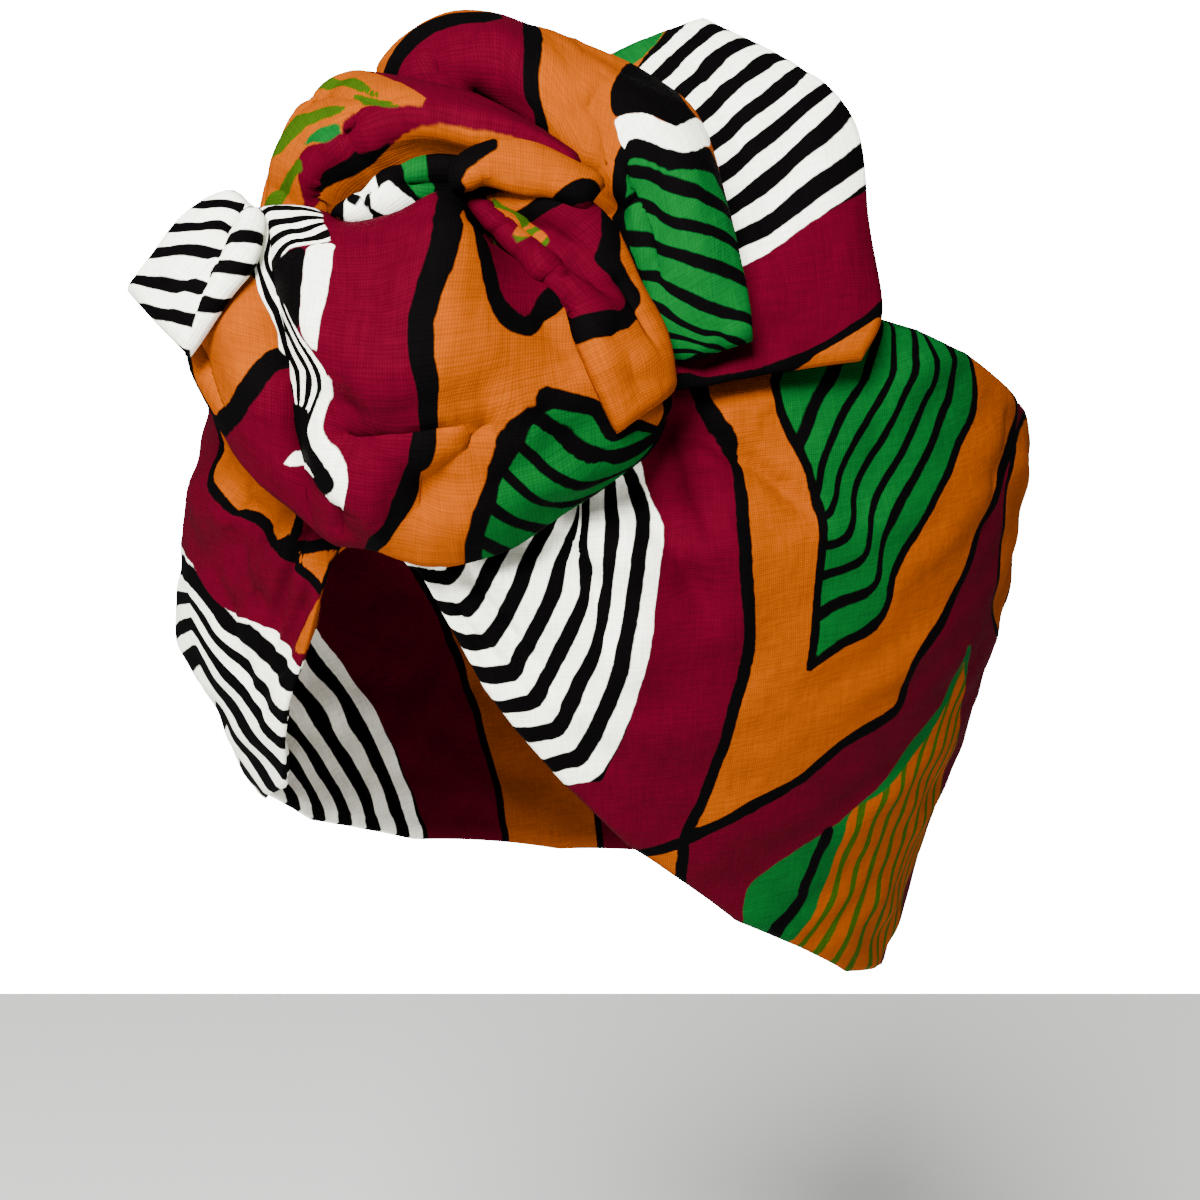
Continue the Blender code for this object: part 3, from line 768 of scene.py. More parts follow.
# creases that show in the photograph: how wide the crease is, how far it is pressed in, how much
# higher the cloth is left of it than right of it, walking along it, and its places there
CREASES = {
    "head_band": (
        (2.4, -3.0, 2.2, ((684, 398), (702, 422), (735, 443), (762, 458), (792, 484), (818, 510),
            (830, 530))),
        (3.4, -2.8, 0.0, ((622, 476), (636, 490), (651, 506), (668, 530), (686, 562), (704, 600),
            (716, 640))),
        (5.0, 1.2, 0.0, ((640, 462), (665, 500), (690, 540), (712, 590), (726, 640), (730, 690))),
        (1.2, -0.8, 0.9, ((622, 476), (632, 487), (642, 497), (652, 508))),
        (1.3, -1.1, 1.2, ((545, 512), (565, 538), (582, 560), (596, 585), (606, 615), (609, 650),
            (604, 690))),
        (4.5, 0.8, 0.0, ((610, 500), (632, 545), (640, 600), (636, 660), (622, 720))),
        (3.0, -2.6, 0.0, ((676, 400), (690, 450), (705, 500), (716, 550))),
        (5.0, 0.9, 0.0, ((700, 440), (722, 490), (738, 550), (748, 610), (748, 670))),
        (4.0, -0.9, 0.0, ((770, 400), (795, 440), (825, 470), (870, 490))),
        (6.0, -0.8, 0.0, ((860, 350), (880, 420), (870, 500), (840, 580))),
        (3.0, -1.0, 0.0, ((1008, 400), (1012, 430), (1000, 480), (985, 540))),
        (3.0, -1.4, 0.8, ((215, 440), (235, 480), (262, 515), (300, 545))),
        (4.0, -1.3, 0.0, ((222, 520), (240, 570), (262, 610), (290, 640))),
        (3.0, -1.1, 0.0, ((210, 560), (225, 610), (240, 660), (256, 720))),
    ),
    "rosette_front_fold": (
        (3.2, -2.4, 2.8, ((318, 434), (345, 426), (380, 420), (430, 418), (470, 417), (515, 414))),
        (6.0, 1.0, 0.0, ((350, 396), (400, 392), (445, 396), (500, 394), (540, 384))),
        (4.0, -3.4, 0.0, ((520, 412), (492, 440), (465, 468), (436, 494), (404, 520), (380, 540))),
        (5.0, 0.9, 0.0, ((470, 440), (440, 466), (415, 486))),
        (4.0, 0.8, 0.0, ((560, 560), (500, 540), (455, 528), (420, 540))),
        (2.6, -2.2, 0.0, ((332, 502), (335, 520), (342, 542))),
        (3.0, -1.3, 0.6, ((541, 396), (560, 418), (585, 440), (610, 452), (640, 440))),
        (3.0, 0.8, 0.0, ((520, 430), (548, 462), (580, 488), (612, 480))),
        (3.0, -0.9, 0.0, ((497, 478), (530, 505), (566, 508), (600, 496))),
        (1.3, -0.9, 0.4, ((189, 322), (196, 345), (206, 372), (220, 402), (240, 432))),
        (6.0, 0.9, 0.0, ((235, 320), (250, 350), (262, 380), (275, 420), (292, 450))),
        (6.0, 0.7, 0.0, ((455, 215), (440, 260), (424, 310), (424, 350))),
        (5.0, -0.7, 0.0, ((376, 250), (372, 300), (384, 345), (402, 380))),
        (3.0, -1.2, 0.0, ((545, 300), (556, 330), (575, 356), (590, 380))),
    ),
    "rosette_right_fold": (
        (1.4, -3.4, 1.6, ((484, 196), (512, 214), (545, 236), (578, 258), (606, 282), (622, 300))),
        (1.4, -2.0, 0.6, ((482, 188), (515, 203), (550, 222), (588, 247), (615, 272))),
        (3.0, -2.0, 0.0, ((495, 214), (508, 232), (522, 250), (534, 270))),
        (2.0, -1.6, 0.0, ((546, 262), (556, 284), (566, 306), (578, 332))),
        (3.0, 0.9, 0.0, ((585, 345), (612, 352), (640, 360), (665, 366))),
        (3.0, -1.2, 0.0, ((600, 330), (625, 352), (640, 380), (645, 405))),
        (1.4, -1.2, 0.5, ((620, 268), (640, 305), (655, 335), (664, 362))),
    ),
    "rosette_inner_fold": (
        (2.0, -1.0, 0.0, ((468, 182), (500, 176), (540, 182), (580, 196))),
    ),
    "rosette_core_tip": (
        (1.2, -1.0, 0.5, ((352, 196), (370, 190), (390, 184))),
        (1.2, -1.2, 0.4, ((402, 160), (406, 180), (424, 198))),
    ),
    "rosette_arch_fold": (
        (2.2, -1.6, 0.6, ((345, 112), (356, 122), (350, 140), (345, 158))),
        (2.4, -1.4, 0.0, ((272, 205), (284, 170), (304, 140), (330, 118))),
        (2.6, 1.0, 0.0, ((362, 160), (380, 138), (405, 124), (440, 117), (490, 124), (535, 145))),
        (2.0, -1.2, 0.4, ((300, 95), (345, 88), (380, 98), (410, 108))),
    ),
    "rosette_top_loop": (
        (2.2, -2.0, 0.7, ((465, 80), (476, 98), (500, 120), (530, 146))),
        (4.0, -1.6, 0.0, ((420, 62), (445, 84), (470, 100), (500, 108))),
        (4.0, 1.0, 0.0, ((480, 30), (512, 66), (534, 98), (556, 135))),
        (5.0, -1.2, 0.0, ((576, 92), (594, 120), (604, 155), (606, 195))),
        (3.0, 0.9, 0.0, ((545, 112), (570, 140), (592, 172))),
        (6.0, 0.8, 0.0, ((640, 75), (655, 120), (680, 180), (705, 250), (728, 320))),
        (3.0, -0.9, 0.0, ((622, 160), (640, 210), (655, 260), (680, 320))),
    ),
    "left_tail": (
        (1.0, -0.9, 0.8, ((246, 204), (236, 226), (222, 255), (208, 282), (198, 305), (190, 335))),
        (1.6, 0.8, 0.0, ((258, 208), (244, 232), (228, 262), (214, 290))),
    ),
    "back_panel": (
        (6.0, -1.4, 0.0, ((700, 60), (735, 130), (765, 200), (780, 262))),
        (6.0, 0.9, 0.0, ((780, 70), (815, 140), (835, 200), (850, 270))),
        (4.0, -1.0, 0.0, ((690, 372), (730, 350), (780, 322), (850, 290))),
    ),
}

# what each piece is dyed all over, and the figures that it carries
PIECE_PRINT = {
    "head_band": ("burgundy", (
        "band orange", "band corner", "band shard", "band chevrons", "band corner green",
        "band corner vein", "band fine stripes", "band rim orange", "far wedge", "far triangle",
        "far waves", "far hem", "side orange", "side shard", "side chevrons",
    )),
    "rosette_front_fold": ("burgundy", (
        "front orange", "front left", "front valley", "front dark", "front strip", "front hook",
        "front hook dark", "front white", "front recess", "front green",
    )),
    "rosette_right_fold": ("orange", ("gathered burgundy", "hole stripes")),
    "rosette_inner_fold": ("orange", ("inner patch", "inner dark")),
    "rosette_core_tip": ("black", ("tip white", "tip white low", "tip white left", "tip bar", "tip green")),
    "rosette_arch_fold": ("burgundy", (
        "arch orange", "arch stripe low", "arch stripe left", "arch stripe top", "arch leaf", "arch point",
        "arch painted shadow", "arch hem",
    )),
    "rosette_top_loop": ("orange", (
        "loop burgundy", "loop rim", "loop rim line", "loop green", "loop blob", "loop white",
    )),
    "left_tail": ("white", ("tail stripes", "tail stripes right")),
    "back_panel": ("orange", ("panel burgundy", "panel stripes", "panel sliver")),
}


def place(right, up, out):
    """The point seen at right and up from the rosette's front, standing out by out, in metres."""
    drawn_in = 1 - out / SIGHT
    point = FACING * out + (RIGHTWARD * right + UPWARD * up) * drawn_in
    return np.array(point) * MM


def through(points, count):
    """count points along a smooth curve through the given ones, each stretch taking as long as
    the square root of its length so that the curve doesn't swing wide."""
    points = np.asarray(points, float)
    steps = np.linalg.norm(np.diff(points, axis=0), axis=1) ** 0.5
    at = np.concatenate([[0], np.cumsum(steps)])
    tangents = np.gradient(points, at, axis=0)
    places = np.linspace(0, at[-1], count)
    stretch = np.clip(np.searchsorted(at, places, side="right") - 1, 0, len(points) - 2)
    step = steps[stretch][:, None]
    t = (places - at[stretch])[:, None] / step
    start, end = points[stretch], points[stretch + 1]
    leave, arrive = tangents[stretch] * step, tangents[stretch + 1] * step
    return (
        start * (2 * t ** 3 - 3 * t ** 2 + 1) + leave * (t ** 3 - 2 * t ** 2 + t)
        + end * (3 * t ** 2 - 2 * t ** 3) + arrive * (t ** 3 - t ** 2)
    )


def run_along(points):
    """How far each point lies from the first one along their polyline."""
    return np.concatenate([[0], np.cumsum(np.linalg.norm(np.diff(points, axis=0), axis=1))])


def even(points, count):
    """count points evenly spaced along a polyline."""
    run = run_along(points)
    at = np.linspace(0, run[-1], count)
    return np.stack([np.interp(at, run, points[:, k]) for k in range(points.shape[1])], axis=1)


def beside_stretch(places, start, end):
    """How far along a straight stretch each place lies, as a share of it, and how far from it."""
    step = end - start
    share = np.clip(((places - start) @ step) / (step @ step + TINY_SQUARE), 0, 1)
    away = np.linalg.norm(places - start - share[..., None] * step, axis=-1)
    return share, away


def faded(share, ends):
    """1 along most of a fold's length, less at its start and nought at its end."""
    rise, start, fall = ends
    return np.clip(share / rise + start, 0, 1) * np.clip((1 - share) / fall, 0, 1)


def dent(along, across, folds, length, breadth):
    """How far each point is moved by the folds, each a line with a soft cross-section."""
    places = np.stack([along * length, across * breadth], axis=-1)
    moved = np.zeros_like(along)
    for from_along, from_across, to_along, to_across, width, depth in folds:
        start = np.array([from_along * length, from_across * breadth])
        end = np.array([to_along * length, to_across * breadth])
        share, away = beside_stretch(places, start, end)
        moved += depth * faded(share, PLEAT_ENDS) * np.exp(-(away / width) ** 2)
    return moved * MM


def grid_normals(points):
    """The direction that the cloth faces at each point of a grid."""
    normals = np.cross(np.gradient(points, axis=0), np.gradient(points, axis=1))
    return normals / (np.linalg.norm(normals, axis=2, keepdims=True) + TINY)


def grid_extent(points, axis):
    """The mean length of a grid of points along one of its axes."""
    return np.linalg.norm(np.diff(points, axis=axis), axis=2).sum(axis=axis).mean() / MM


def section_line(row, share, back, reaches):
    """The points that one section of a fold is curved through, from the knot behind edge a, where
    it reaches there, to the knot behind edge b."""
    reach_a, deep_a, reach_b, deep_b = reaches
    a, b = place(*row[0:3]), place(*row[3:6])
    out = SIGHT_LINE * row[6] * MM
    shoulder_a = a + (b - a) / SHOULDER_PARTS + out * FULLNESS
    shoulder_b = b + (a - b) / SHOULDER_PARTS + out * FULLNESS
    line = [a, shoulder_a, (a + b) / 2 + out, shoulder_b, b]
    if reach_a:
        heart = place(*KNOT_MIDDLE[:2], deep_a)
        inward = (heart - a) / np.linalg.norm(heart - a) * reach_a * MM
        if deep_a >= KNOT_MIDDLE[2]:
            line.insert(0, a + inward * share)
        elif back > LEAST_BACK:
            line.insert(0, a + (inward / SHOULDER_PARTS - SIGHT_LINE * EDGE_ROUND * MM) * back)
            line.insert(0, a + inward * back)
    if reach_b:
        heart = place(*KNOT_MIDDLE[:2], deep_b)
        line.append(b + (heart - b) / np.linalg.norm(heart - b) * reach_b * share * MM)
    return line


def fold_grid(sections, creases, *reaches):
    """A fine grid of points for one fold, its sections joined smoothly and its creases pressed in,
    and their places on the flat cloth."""
    middles = np.array([(place(*row[0:3]) + place(*row[3:6])) / 2 for row in sections])
    length = run_along(middles)[-1] / MM
    steps_along = max(FEWEST_ALONG, int(length * LENGTH_ROOM / CELL))
    stations = through(sections, steps_along + 1)
    spans = [np.linalg.norm(place(*row[0:3]) - place(*row[3:6])) for row in stations]
    breadth = max(spans) / MM * BREADTH_ROOM + reaches[0] + reaches[2]
    steps_across = max(FEWEST_ACROSS, int(breadth / CELL))
    rows = []
    for k, (row, span) in enumerate(zip(stations, spans)):
        share = min(1, span / (FULL_SPAN * max(spans)))
        back = share * min(1, max(0, (TURNED_TO - k / steps_along) / TURN_FADE))
        curve = through(section_line(row, share, back, reaches), CURVE_POINTS)
        rows.append(even(curve, steps_across + 1))
    points = np.array(rows)
    length, breadth = grid_extent(points, 0), grid_extent(points, 1)
    along, across = np.meshgrid(
        np.linspace(0, 1, steps_along + 1), np.linspace(0, 1, steps_across + 1), indexing="ij"
    )
    normals = grid_normals(points)
    facing = np.sign((normals @ SIGHT_LINE).sum())
    points = points + normals * facing * dent(along, across, creases, length, breadth)[..., None]
    if facing < 0:
        points = points[:, ::-1]
    return points, np.stack([along * length, across * breadth], axis=-1) * MM


def band_level(height):
    """The wrapped band's half width, front and back at this height."""
    levels = np.array(BAND_LEVELS, float)
    return [np.interp(height, levels[:, 0], levels[:, k]) for k in (1, 2, 3)]


def on_band(turn, height, off):
    """Points of the band's outside at these turns from the front and these heights."""
    half_width, front, back = band_level(height)
    sideways, ahead = np.sin(turn), -np.cos(turn)
    x = (half_width + off) * sideways
    y = (front + back) / 2 + ((back - front) / 2 + off) * ahead
    return np.stack([x, y, height], axis=-1) * MM


def stands_off(from_knot, height):
    """How far the band stands off its levels, where it is gathered, flatter or fuller."""
    moved = GATHERED * np.exp(-(from_knot / GATHERED_SPREAD) ** 2)
    for turn, level, spread_turn, spread_level, depth in BAND_HOLLOWS:
        away = ((from_knot - turn) / spread_turn) ** 2 + ((height - level) / spread_level) ** 2
        moved = moved + depth * np.exp(-away)
    return moved


def band_grid():
    """The head band as rings of points from its lower to its upper edge, fine where it is seen in
    the photograph and coarser behind, and its places on the flat strip."""
    edges = np.array(BAND_EDGES, float)
    cell = math.degrees(CELL / ROUND_RADIUS)
    turns = np.concatenate([
        np.arange(-180, FAR_END, HIDDEN_CELL * cell),
        np.arange(FAR_END, FINE_FROM, FAR_CELL * cell),
        np.arange(FINE_FROM, NEAR_END, cell),
        np.linspace(NEAR_END, 180, int((180 - NEAR_END) / (HIDDEN_CELL * cell))),
    ])
    share = np.linspace(0, 1, CELLS_UP + 1)[None, :].repeat(len(turns), axis=0)
    from_knot = turns[:, None].repeat(CELLS_UP + 1, axis=1)
    low = np.interp(turns, edges[:, 0], edges[:, 1])[:, None]
    high = np.interp(turns, edges[:, 0], edges[:, 2])[:, None]
    height = low + (high - low) * share
    pleats = [(a / 180, v, b / 180, w, width, depth) for a, v, b, w, width, depth in BAND_PLEATS]
    pleated = dent(np.abs(from_knot) / 180, share, pleats, HALF_LENGTH, STRIP_HEIGHT) / MM
    points = on_band(
        np.radians(from_knot + KNOT_TURN), height, stands_off(from_knot, height) + pleated
    )
    uv = np.stack([np.radians(from_knot) * ROUND_RADIUS, height * HEIGHT_SHARE], axis=-1) * MM
    return points, uv


def photo_places(points):
    """Where points are seen in the photograph."""
    from_eye = points - EYE
    ahead = -(from_eye @ SIGHT_LINE)
    right = from_eye @ np.array(RIGHTWARD) / ahead
    up = from_eye @ np.array(UPWARD) / ahead
    return np.stack([PHOTO_MIDDLE + right * PHOTO_FOCUS, PHOTO_MIDDLE - up * PHOTO_FOCUS], axis=-1)


def on_cloth(targets, points, uv):
    """The places on the flat cloth that are seen at these places in the photograph. A place with
    three numbers isn't seen there: it is given as degrees from the knot, height and nought."""
    seen = photo_places(points)
    to_eye = EYE - points
    to_eye /= np.linalg.norm(to_eye, axis=2, keepdims=True)
    facing = (grid_normals(points) * to_eye).sum(axis=2) > LEAST_FACING
    hidden = np.where(facing, 0, OUT_OF_SIGHT)
    seen_along, seen_across = np.gradient(seen, axis=0), np.gradient(seen, axis=1)
    uv_along, uv_across = np.gradient(uv, axis=0), np.gradient(uv, axis=1)
    found = []
    for target in targets:
        if len(target) == 3:
            turn, height, _ = target
            found.append(np.array([math.radians(turn) * ROUND_RADIUS, height * HEIGHT_SHARE]) * MM)
            continue
        away = np.linalg.norm(seen - target, axis=2) + hidden
        i, j = np.unravel_index(away.argmin(), away.shape)
        slopes = np.stack([seen_along[i, j], seen_across[i, j]], axis=1)
        cells = np.linalg.lstsq(slopes, target - seen[i, j], rcond=LEAST_SLOPE)[0]
        cells = np.clip(cells, -MOST_CELLS, MOST_CELLS)
        found.append(uv[i, j] + uv_along[i, j] * cells[0] + uv_across[i, j] * cells[1])
    return np.array(found)


def softened(line, closed):
    """The line with its corners cut once."""
    ahead = np.roll(line, -1, axis=0) if closed else line[1:]
    start = line if closed else line[:-1]
    keep = 1 - CORNER_CUT
    cut = [start * keep + ahead * CORNER_CUT, start * CORNER_CUT + ahead * keep]
    cut = np.stack(cut, axis=1).reshape(-1, 2)
    return cut if closed else np.concatenate([line[:1], cut, line[-1:]])


def beside_line(line, uv):
    """How far each place lies from an open line, and its share along the line."""
    run = run_along(line)
    run = run / run[-1]
    nearest = np.full(uv.shape[:-1], np.inf)
    along = np.zeros(uv.shape[:-1])
    for k, (start, end) in enumerate(zip(line, line[1:])):
        share, away = beside_stretch(uv, start, end)
        along = np.where(away < nearest, run[k] + share * (run[k + 1] - run[k]), along)
        nearest = np.minimum(nearest, away)
    return nearest / MM, along


def line_side(line, uv):
    """How far each place lies to the left of an open line, which runs on straight at both ends."""
    flat = uv.reshape(-1, 2)
    steps = np.diff(line, axis=0)
    normals = np.stack([-steps[:, 1], steps[:, 0]], axis=1)
    normals /= np.linalg.norm(normals, axis=1, keepdims=True) + TINY
    nearest = np.full(len(flat), np.inf)
    side = np.zeros(len(flat))
    last = len(steps) - 1
    for k, step in enumerate(steps):
        share = ((flat - line[k]) @ step) / (step @ step + TINY_SQUARE)
        held = np.clip(share, -np.inf if k == 0 else 0, np.inf if k == last else 1)
        off = flat - line[k] - held[:, None] * step
        away = np.linalg.norm(off, axis=1)
        normal = np.tile(normals[k], (len(flat), 1))
        if k > 0:
            normal[share < 0] += normals[k - 1]
        if k < last:
            normal[share > 1] += normals[k + 1]
        sign = np.sign((off * normal).sum(axis=1))
        closer = away < nearest
        nearest = np.where(closer, away, nearest)
        side = np.where(closer, sign * away, side)
    return (side / MM).reshape(uv.shape[:-1])


def creased(points, uv, creases):
    """How far each point is moved by the creases seen in the photograph."""
    moved = np.zeros(uv.shape[:-1])
    for width, depth, step, seen in creases:
        line = on_cloth(seen, points, uv)
        away, along = beside_line(line, uv)
        middle = len(seen) // 2
        before, after = np.array(seen[middle - 1], float), np.array(seen[middle], float)
        ahead = after - before
        left = np.array([ahead[1], -ahead[0]]) / np.linalg.norm(ahead) * PROBE
        side = line_side(line, uv)
        if line_side(line, on_cloth([after + left], points, uv))[0] < 0:
            side = -side
        pressed = np.exp(CREASE_ROUND - np.sqrt((away / width) ** 2 + CREASE_ROUND ** 2))
        raised = np.tanh(side / STEP_SOFT) * np.exp(-away / (STEP_REACH * width)) * step / 2
        moved += CREASE_DEPTH * (depth * pressed + raised) * faded(along, CREASE_ENDS)
    return moved * MM


def edge_distance(edge, uv):
    """How far each place lies outside the closed edge, less than nought inside."""
    across, up = uv[..., 0], uv[..., 1]
    nearest = np.full(uv.shape[:-1], np.inf)
    inside = np.zeros(uv.shape[:-1], bool)
    for start, end in zip(edge, np.roll(edge, -1, axis=0)):
        nearest = np.minimum(nearest, beside_stretch(uv, start, end)[1])
        line = end - start
        rise = line[1] if abs(line[1]) > TINY else TINY
        crosses = (start[1] > up) != (end[1] > up)
        inside ^= crosses & (across < start[0] + (up - start[1]) * line[0] / rise)
    return np.where(inside, -nearest, nearest) / MM


def stripe_count(guides, uv):
    """A count that is whole on each guide line and runs evenly from one to the next."""
    counts = [count for count, _ in guides]
    sides = [line_side(line, uv) for _, line in guides]
    if np.median(line_side(guides[0][1], guides[1][1])) < 0:
        sides = [-side for side in sides]
    gap = max(float(np.median(sides[0] - sides[1])), LEAST_GAP)
    found = counts[0] + sides[0] * (counts[1] - counts[0]) / gap
    for k in range(len(guides) - 1):
        share = sides[k] / np.maximum(sides[k] - sides[k + 1], LEAST_SPAN)
        between = counts[k] + (counts[k + 1] - counts[k]) * np.clip(share, 0, 1)
        found = np.where(sides[k] >= 0, between, found)
    gap = max(float(np.median(sides[-2] - sides[-1])), LEAST_GAP)
    beyond = counts[-1] + sides[-1] * (counts[-1] - counts[-2]) / gap
    return np.where(sides[-1] > 0, beyond, found)


def print_fields(names, points, uv, uv_read):
    """The numbers that the material paints each figure with, at every point of the cloth."""
    fields = {}
    for number, name in enumerate(names):
        figure = PRINT[name]
        edge = softened(on_cloth(figure["edge"], points, uv), True)
        fields[f"edge_{number}"] = edge_distance(edge, uv_read)
        if figure["guides"]:
            guides = [
                (count, softened(on_cloth(line, points, uv), False))
                for count, line in figure["guides"]
            ]
            fields[f"count_{number}"] = stripe_count(guides, uv_read)
    return fields


def from_row_ends(points):
    """How far each point of a grid lies from the nearer end of its row."""
    steps = np.linalg.norm(np.diff(points, axis=1), axis=2) / MM
    run = np.concatenate([np.zeros((len(points), 1)), np.cumsum(steps, axis=1)], axis=1)
    return np.minimum(run, run[:, -1:] - run)


def turned_edges(points, ends):
    """How far the cloth is rounded over along its edges, and how near each point is to its full
    thickness. ends says whether the first and last rows are edges too."""
    near = from_row_ends(points)
    if ends:
        near = np.minimum(near, from_row_ends(points.swapaxes(0, 1)).T)
    share = 1 - np.clip(near / RIM_WIDE, 0, 1)
    return EDGE_DROP * (1 - np.sqrt(1 - share ** 2)) * MM, 1 - share


def crumpled(uv, seed):
    """Slight waves in the cloth, as it lies after being wound and pulled about."""
    chance = np.random.default_rng(seed)
    u, v = uv[..., 0] / MM, uv[..., 1] / MM
    moved = np.zeros_like(u)
    for _ in range(CRUMPLE_WAVES):
        turn = chance.uniform(-CRUMPLE_TURN, CRUMPLE_TURN)
        wave = chance.uniform(*CRUMPLE_LENGTHS)
        phase = chance.uniform(0, 2 * math.pi)
        bend = chance.uniform(*CRUMPLE_BENDS)
        bend_length = chance.uniform(*CRUMPLE_BEND_LENGTHS)
        bend = bend * np.sin(u / bend_length + chance.uniform(0, CRUMPLE_BEND_START))
        across = v * math.cos(turn) + u * math.sin(turn)
        moved += wave / max(CRUMPLE_LENGTHS) * np.sin(2 * math.pi * across / wave + phase + bend)
    return moved * CRUMPLE / (CRUMPLE_WAVES / 2) * MM


def in_scene(name, data):
    """An object of this name and data, in the scene."""
    made = bpy.data.objects.new(name, data)
    bpy.context.scene.collection.objects.link(made)
    return made


def smooth_piece(name, shape_mesh):
    """The object made of this bmesh, shaded smooth."""
    mesh = bpy.data.meshes.new(name)
    shape_mesh.to_mesh(mesh)
    shape_mesh.free()
    for face in mesh.polygons:
        face.use_smooth = True
    return in_scene(name, mesh)


def cloth_piece(name, points, uv, fields):
    """A grid of points as a cloth piece, with its flat places and its print."""
    rows, columns = points.shape[:2]
    shape_mesh = bmesh.new()
    bmesh.ops.create_grid(shape_mesh, x_segments=columns - 1, y_segments=rows - 1, size=1)
    shape_mesh.verts.ensure_lookup_table()
    for vertex, point in zip(shape_mesh.verts, points.reshape(-1, 3)):
        vertex.co = point
    places = uv.reshape(-1, 2)
    layer = shape_mesh.loops.layers.uv.new("UVMap")
    for face in shape_mesh.faces:
        for loop in face.loops:
            loop[layer].uv = places[loop.vert.index]
    for field, values in fields.items():
        store = shape_mesh.verts.layers.float.new(field)
        for vertex, value in zip(shape_mesh.verts, values.reshape(-1)):
            vertex[store] = value
    bmesh.ops.recalc_face_normals(shape_mesh, faces=shape_mesh.faces)
    return smooth_piece(name, shape_mesh)


def thicken(piece, thick, weights):
    """Gives the cloth its thickness, less along its rim, where the weights fall to nought."""
    group = piece.vertex_groups.new(name="Cloth")
    nearest_level = np.round(weights.reshape(-1) * RIM_LEVELS)
    for level in range(RIM_LEVELS + 1):
        chosen = np.nonzero(nearest_level == level)[0]
        if len(chosen):
            group.add(chosen.tolist(), level / RIM_LEVELS, "REPLACE")
    solid = piece.modifiers.new("Cloth", "SOLIDIFY")
    solid.thickness = thick * MM
    solid.offset = -1
    solid.use_even_offset = False
    solid.use_rim = True
    solid.vertex_group = "Cloth"
    solid.thickness_vertex_group = RIM_SHARE


def rest_on_band(shape_mesh):
    """Moves what lies within the wrapped band out to its surface."""
    for vertex in shape_mesh.verts:
        x, y, z = vertex.co / MM
        half_width, front, back = band_level(z)
        middle, half_length = (front + back) / 2, (back - front) / 2
        reach = math.hypot(x / (half_width + KNOT_CLEAR), (y - middle) / (half_length + KNOT_CLEAR))
        if 0 < reach < 1:
            vertex.co.x = x / reach * MM
            vertex.co.y = (middle + (y - middle) / reach) * MM


def knot_piece():
    """The wound core: a flattened ball with shallow spiral lobes and lines, resting on the band."""
    shape_mesh = bmesh.new()
    shape_mesh.loops.layers.uv.new("UVMap")
    around, along = KNOT_CELLS
    bmesh.ops.create_uvsphere(
        shape_mesh, u_segments=around, v_segments=along, radius=1, calc_uvs=True
    )
    layer = shape_mesh.loops.layers.uv.active
    for face in shape_mesh.faces:
        for loop in face.loops:
            loop[layer].uv = [at * size * MM for at, size in zip(loop[layer].uv, KNOT_CLOTH)]
    middle = Vector(place(*KNOT_MIDDLE))
    half = [size * MM for size in KNOT_HALF_SIZE]
    for vertex in shape_mesh.verts:
        x, y, z = vertex.co
        angle = math.atan2(y, x) + KNOT_TWIST * z
        roundness = 1 - z * z
        wound = 1 + KNOT_LOBE_DEPTH * math.cos(KNOT_LOBES * angle) * roundness
        from_line = math.sin(LINES_ON_LOBE / 2 * KNOT_LOBES * angle) / KNOT_LINE_WIDE
        wound -= KNOT_LINE_DEPTH * math.exp(-from_line ** 2) * roundness
        vertex.co = middle + (
            RIGHTWARD * (x * half[0] * wound) + UPWARD * (y * half[1] * wound) + FACING * (z * half[2])
        )
    rest_on_band(shape_mesh)
    return smooth_piece("knot_cloth", shape_mesh)


def add_node(tree, kind, **settings):
    """A shader node of this kind with these settings."""
    node = tree.nodes.new(kind)
    for key, value in settings.items():
        setattr(node, key, value)
    return node


def give(tree, socket, value):
    """Links this socket to another one, or sets it to a number or a colour."""
    if isinstance(value, bpy.types.NodeSocket):
        tree.links.new(value, socket)
    else:
        socket.default_value = value


def feed(tree, node, **given):
    """Gives each named socket of a node its value. A name has _ where the socket's has a space."""
    for name, value in given.items():
        give(tree, node.inputs[name.replace("_", " ")], value)


def calculate(tree, operation, *values):
    """A Math node on these values or sockets."""
    node = add_node(tree, "ShaderNodeMath", operation=operation)
    for socket, value in zip(node.inputs, values):
        give(tree, socket, value)
    return node.outputs[0]


def step_down(tree, value, middle, soft):
    """1 below the middle, 0 above it and smooth over soft to each side of it."""
    node = add_node(tree, "ShaderNodeMapRange", interpolation_type="SMOOTHSTEP")
    if isinstance(middle, bpy.types.NodeSocket):
        low = calculate(tree, "SUBTRACT", middle, soft)
        high = calculate(tree, "ADD", middle, soft)
    else:
        low, high = middle - soft, middle + soft
    feed(tree, node, Value=value, From_Min=low, From_Max=high, To_Min=1, To_Max=0)
    return node.outputs["Result"]


def blend(tree, share, first, second):
    """The first colour, and the second where the share is 1."""
    node = add_node(tree, "ShaderNodeMix", data_type="RGBA")
    for slot, value in ((0, share), (6, first), (7, second)):
        give(tree, node.inputs[slot], value)
    return node.outputs[2]


def noise(tree, at, scale, detail):
    """A noise at these places, less than nought as often as more."""
    node = add_node(tree, "ShaderNodeTexNoise")
    feed(tree, node, Vector=at, Scale=scale, Detail=detail)
    return calculate(tree, "SUBTRACT", node.outputs["Fac"], 0.5)


def new_group(name, inputs, outputs):
    """A node group, the sockets that it is given and the node that it ends in."""
    group = bpy.data.node_groups.new(name, "ShaderNodeTree")
    for way, sockets in (("INPUT", inputs), ("OUTPUT", outputs)):
        for socket, kind in sockets.items():
            group.interface.new_socket(socket, in_out=way, socket_type="NodeSocket" + kind)
    return group, add_node(group, "NodeGroupInput").outputs, add_node(group, "NodeGroupOutput")


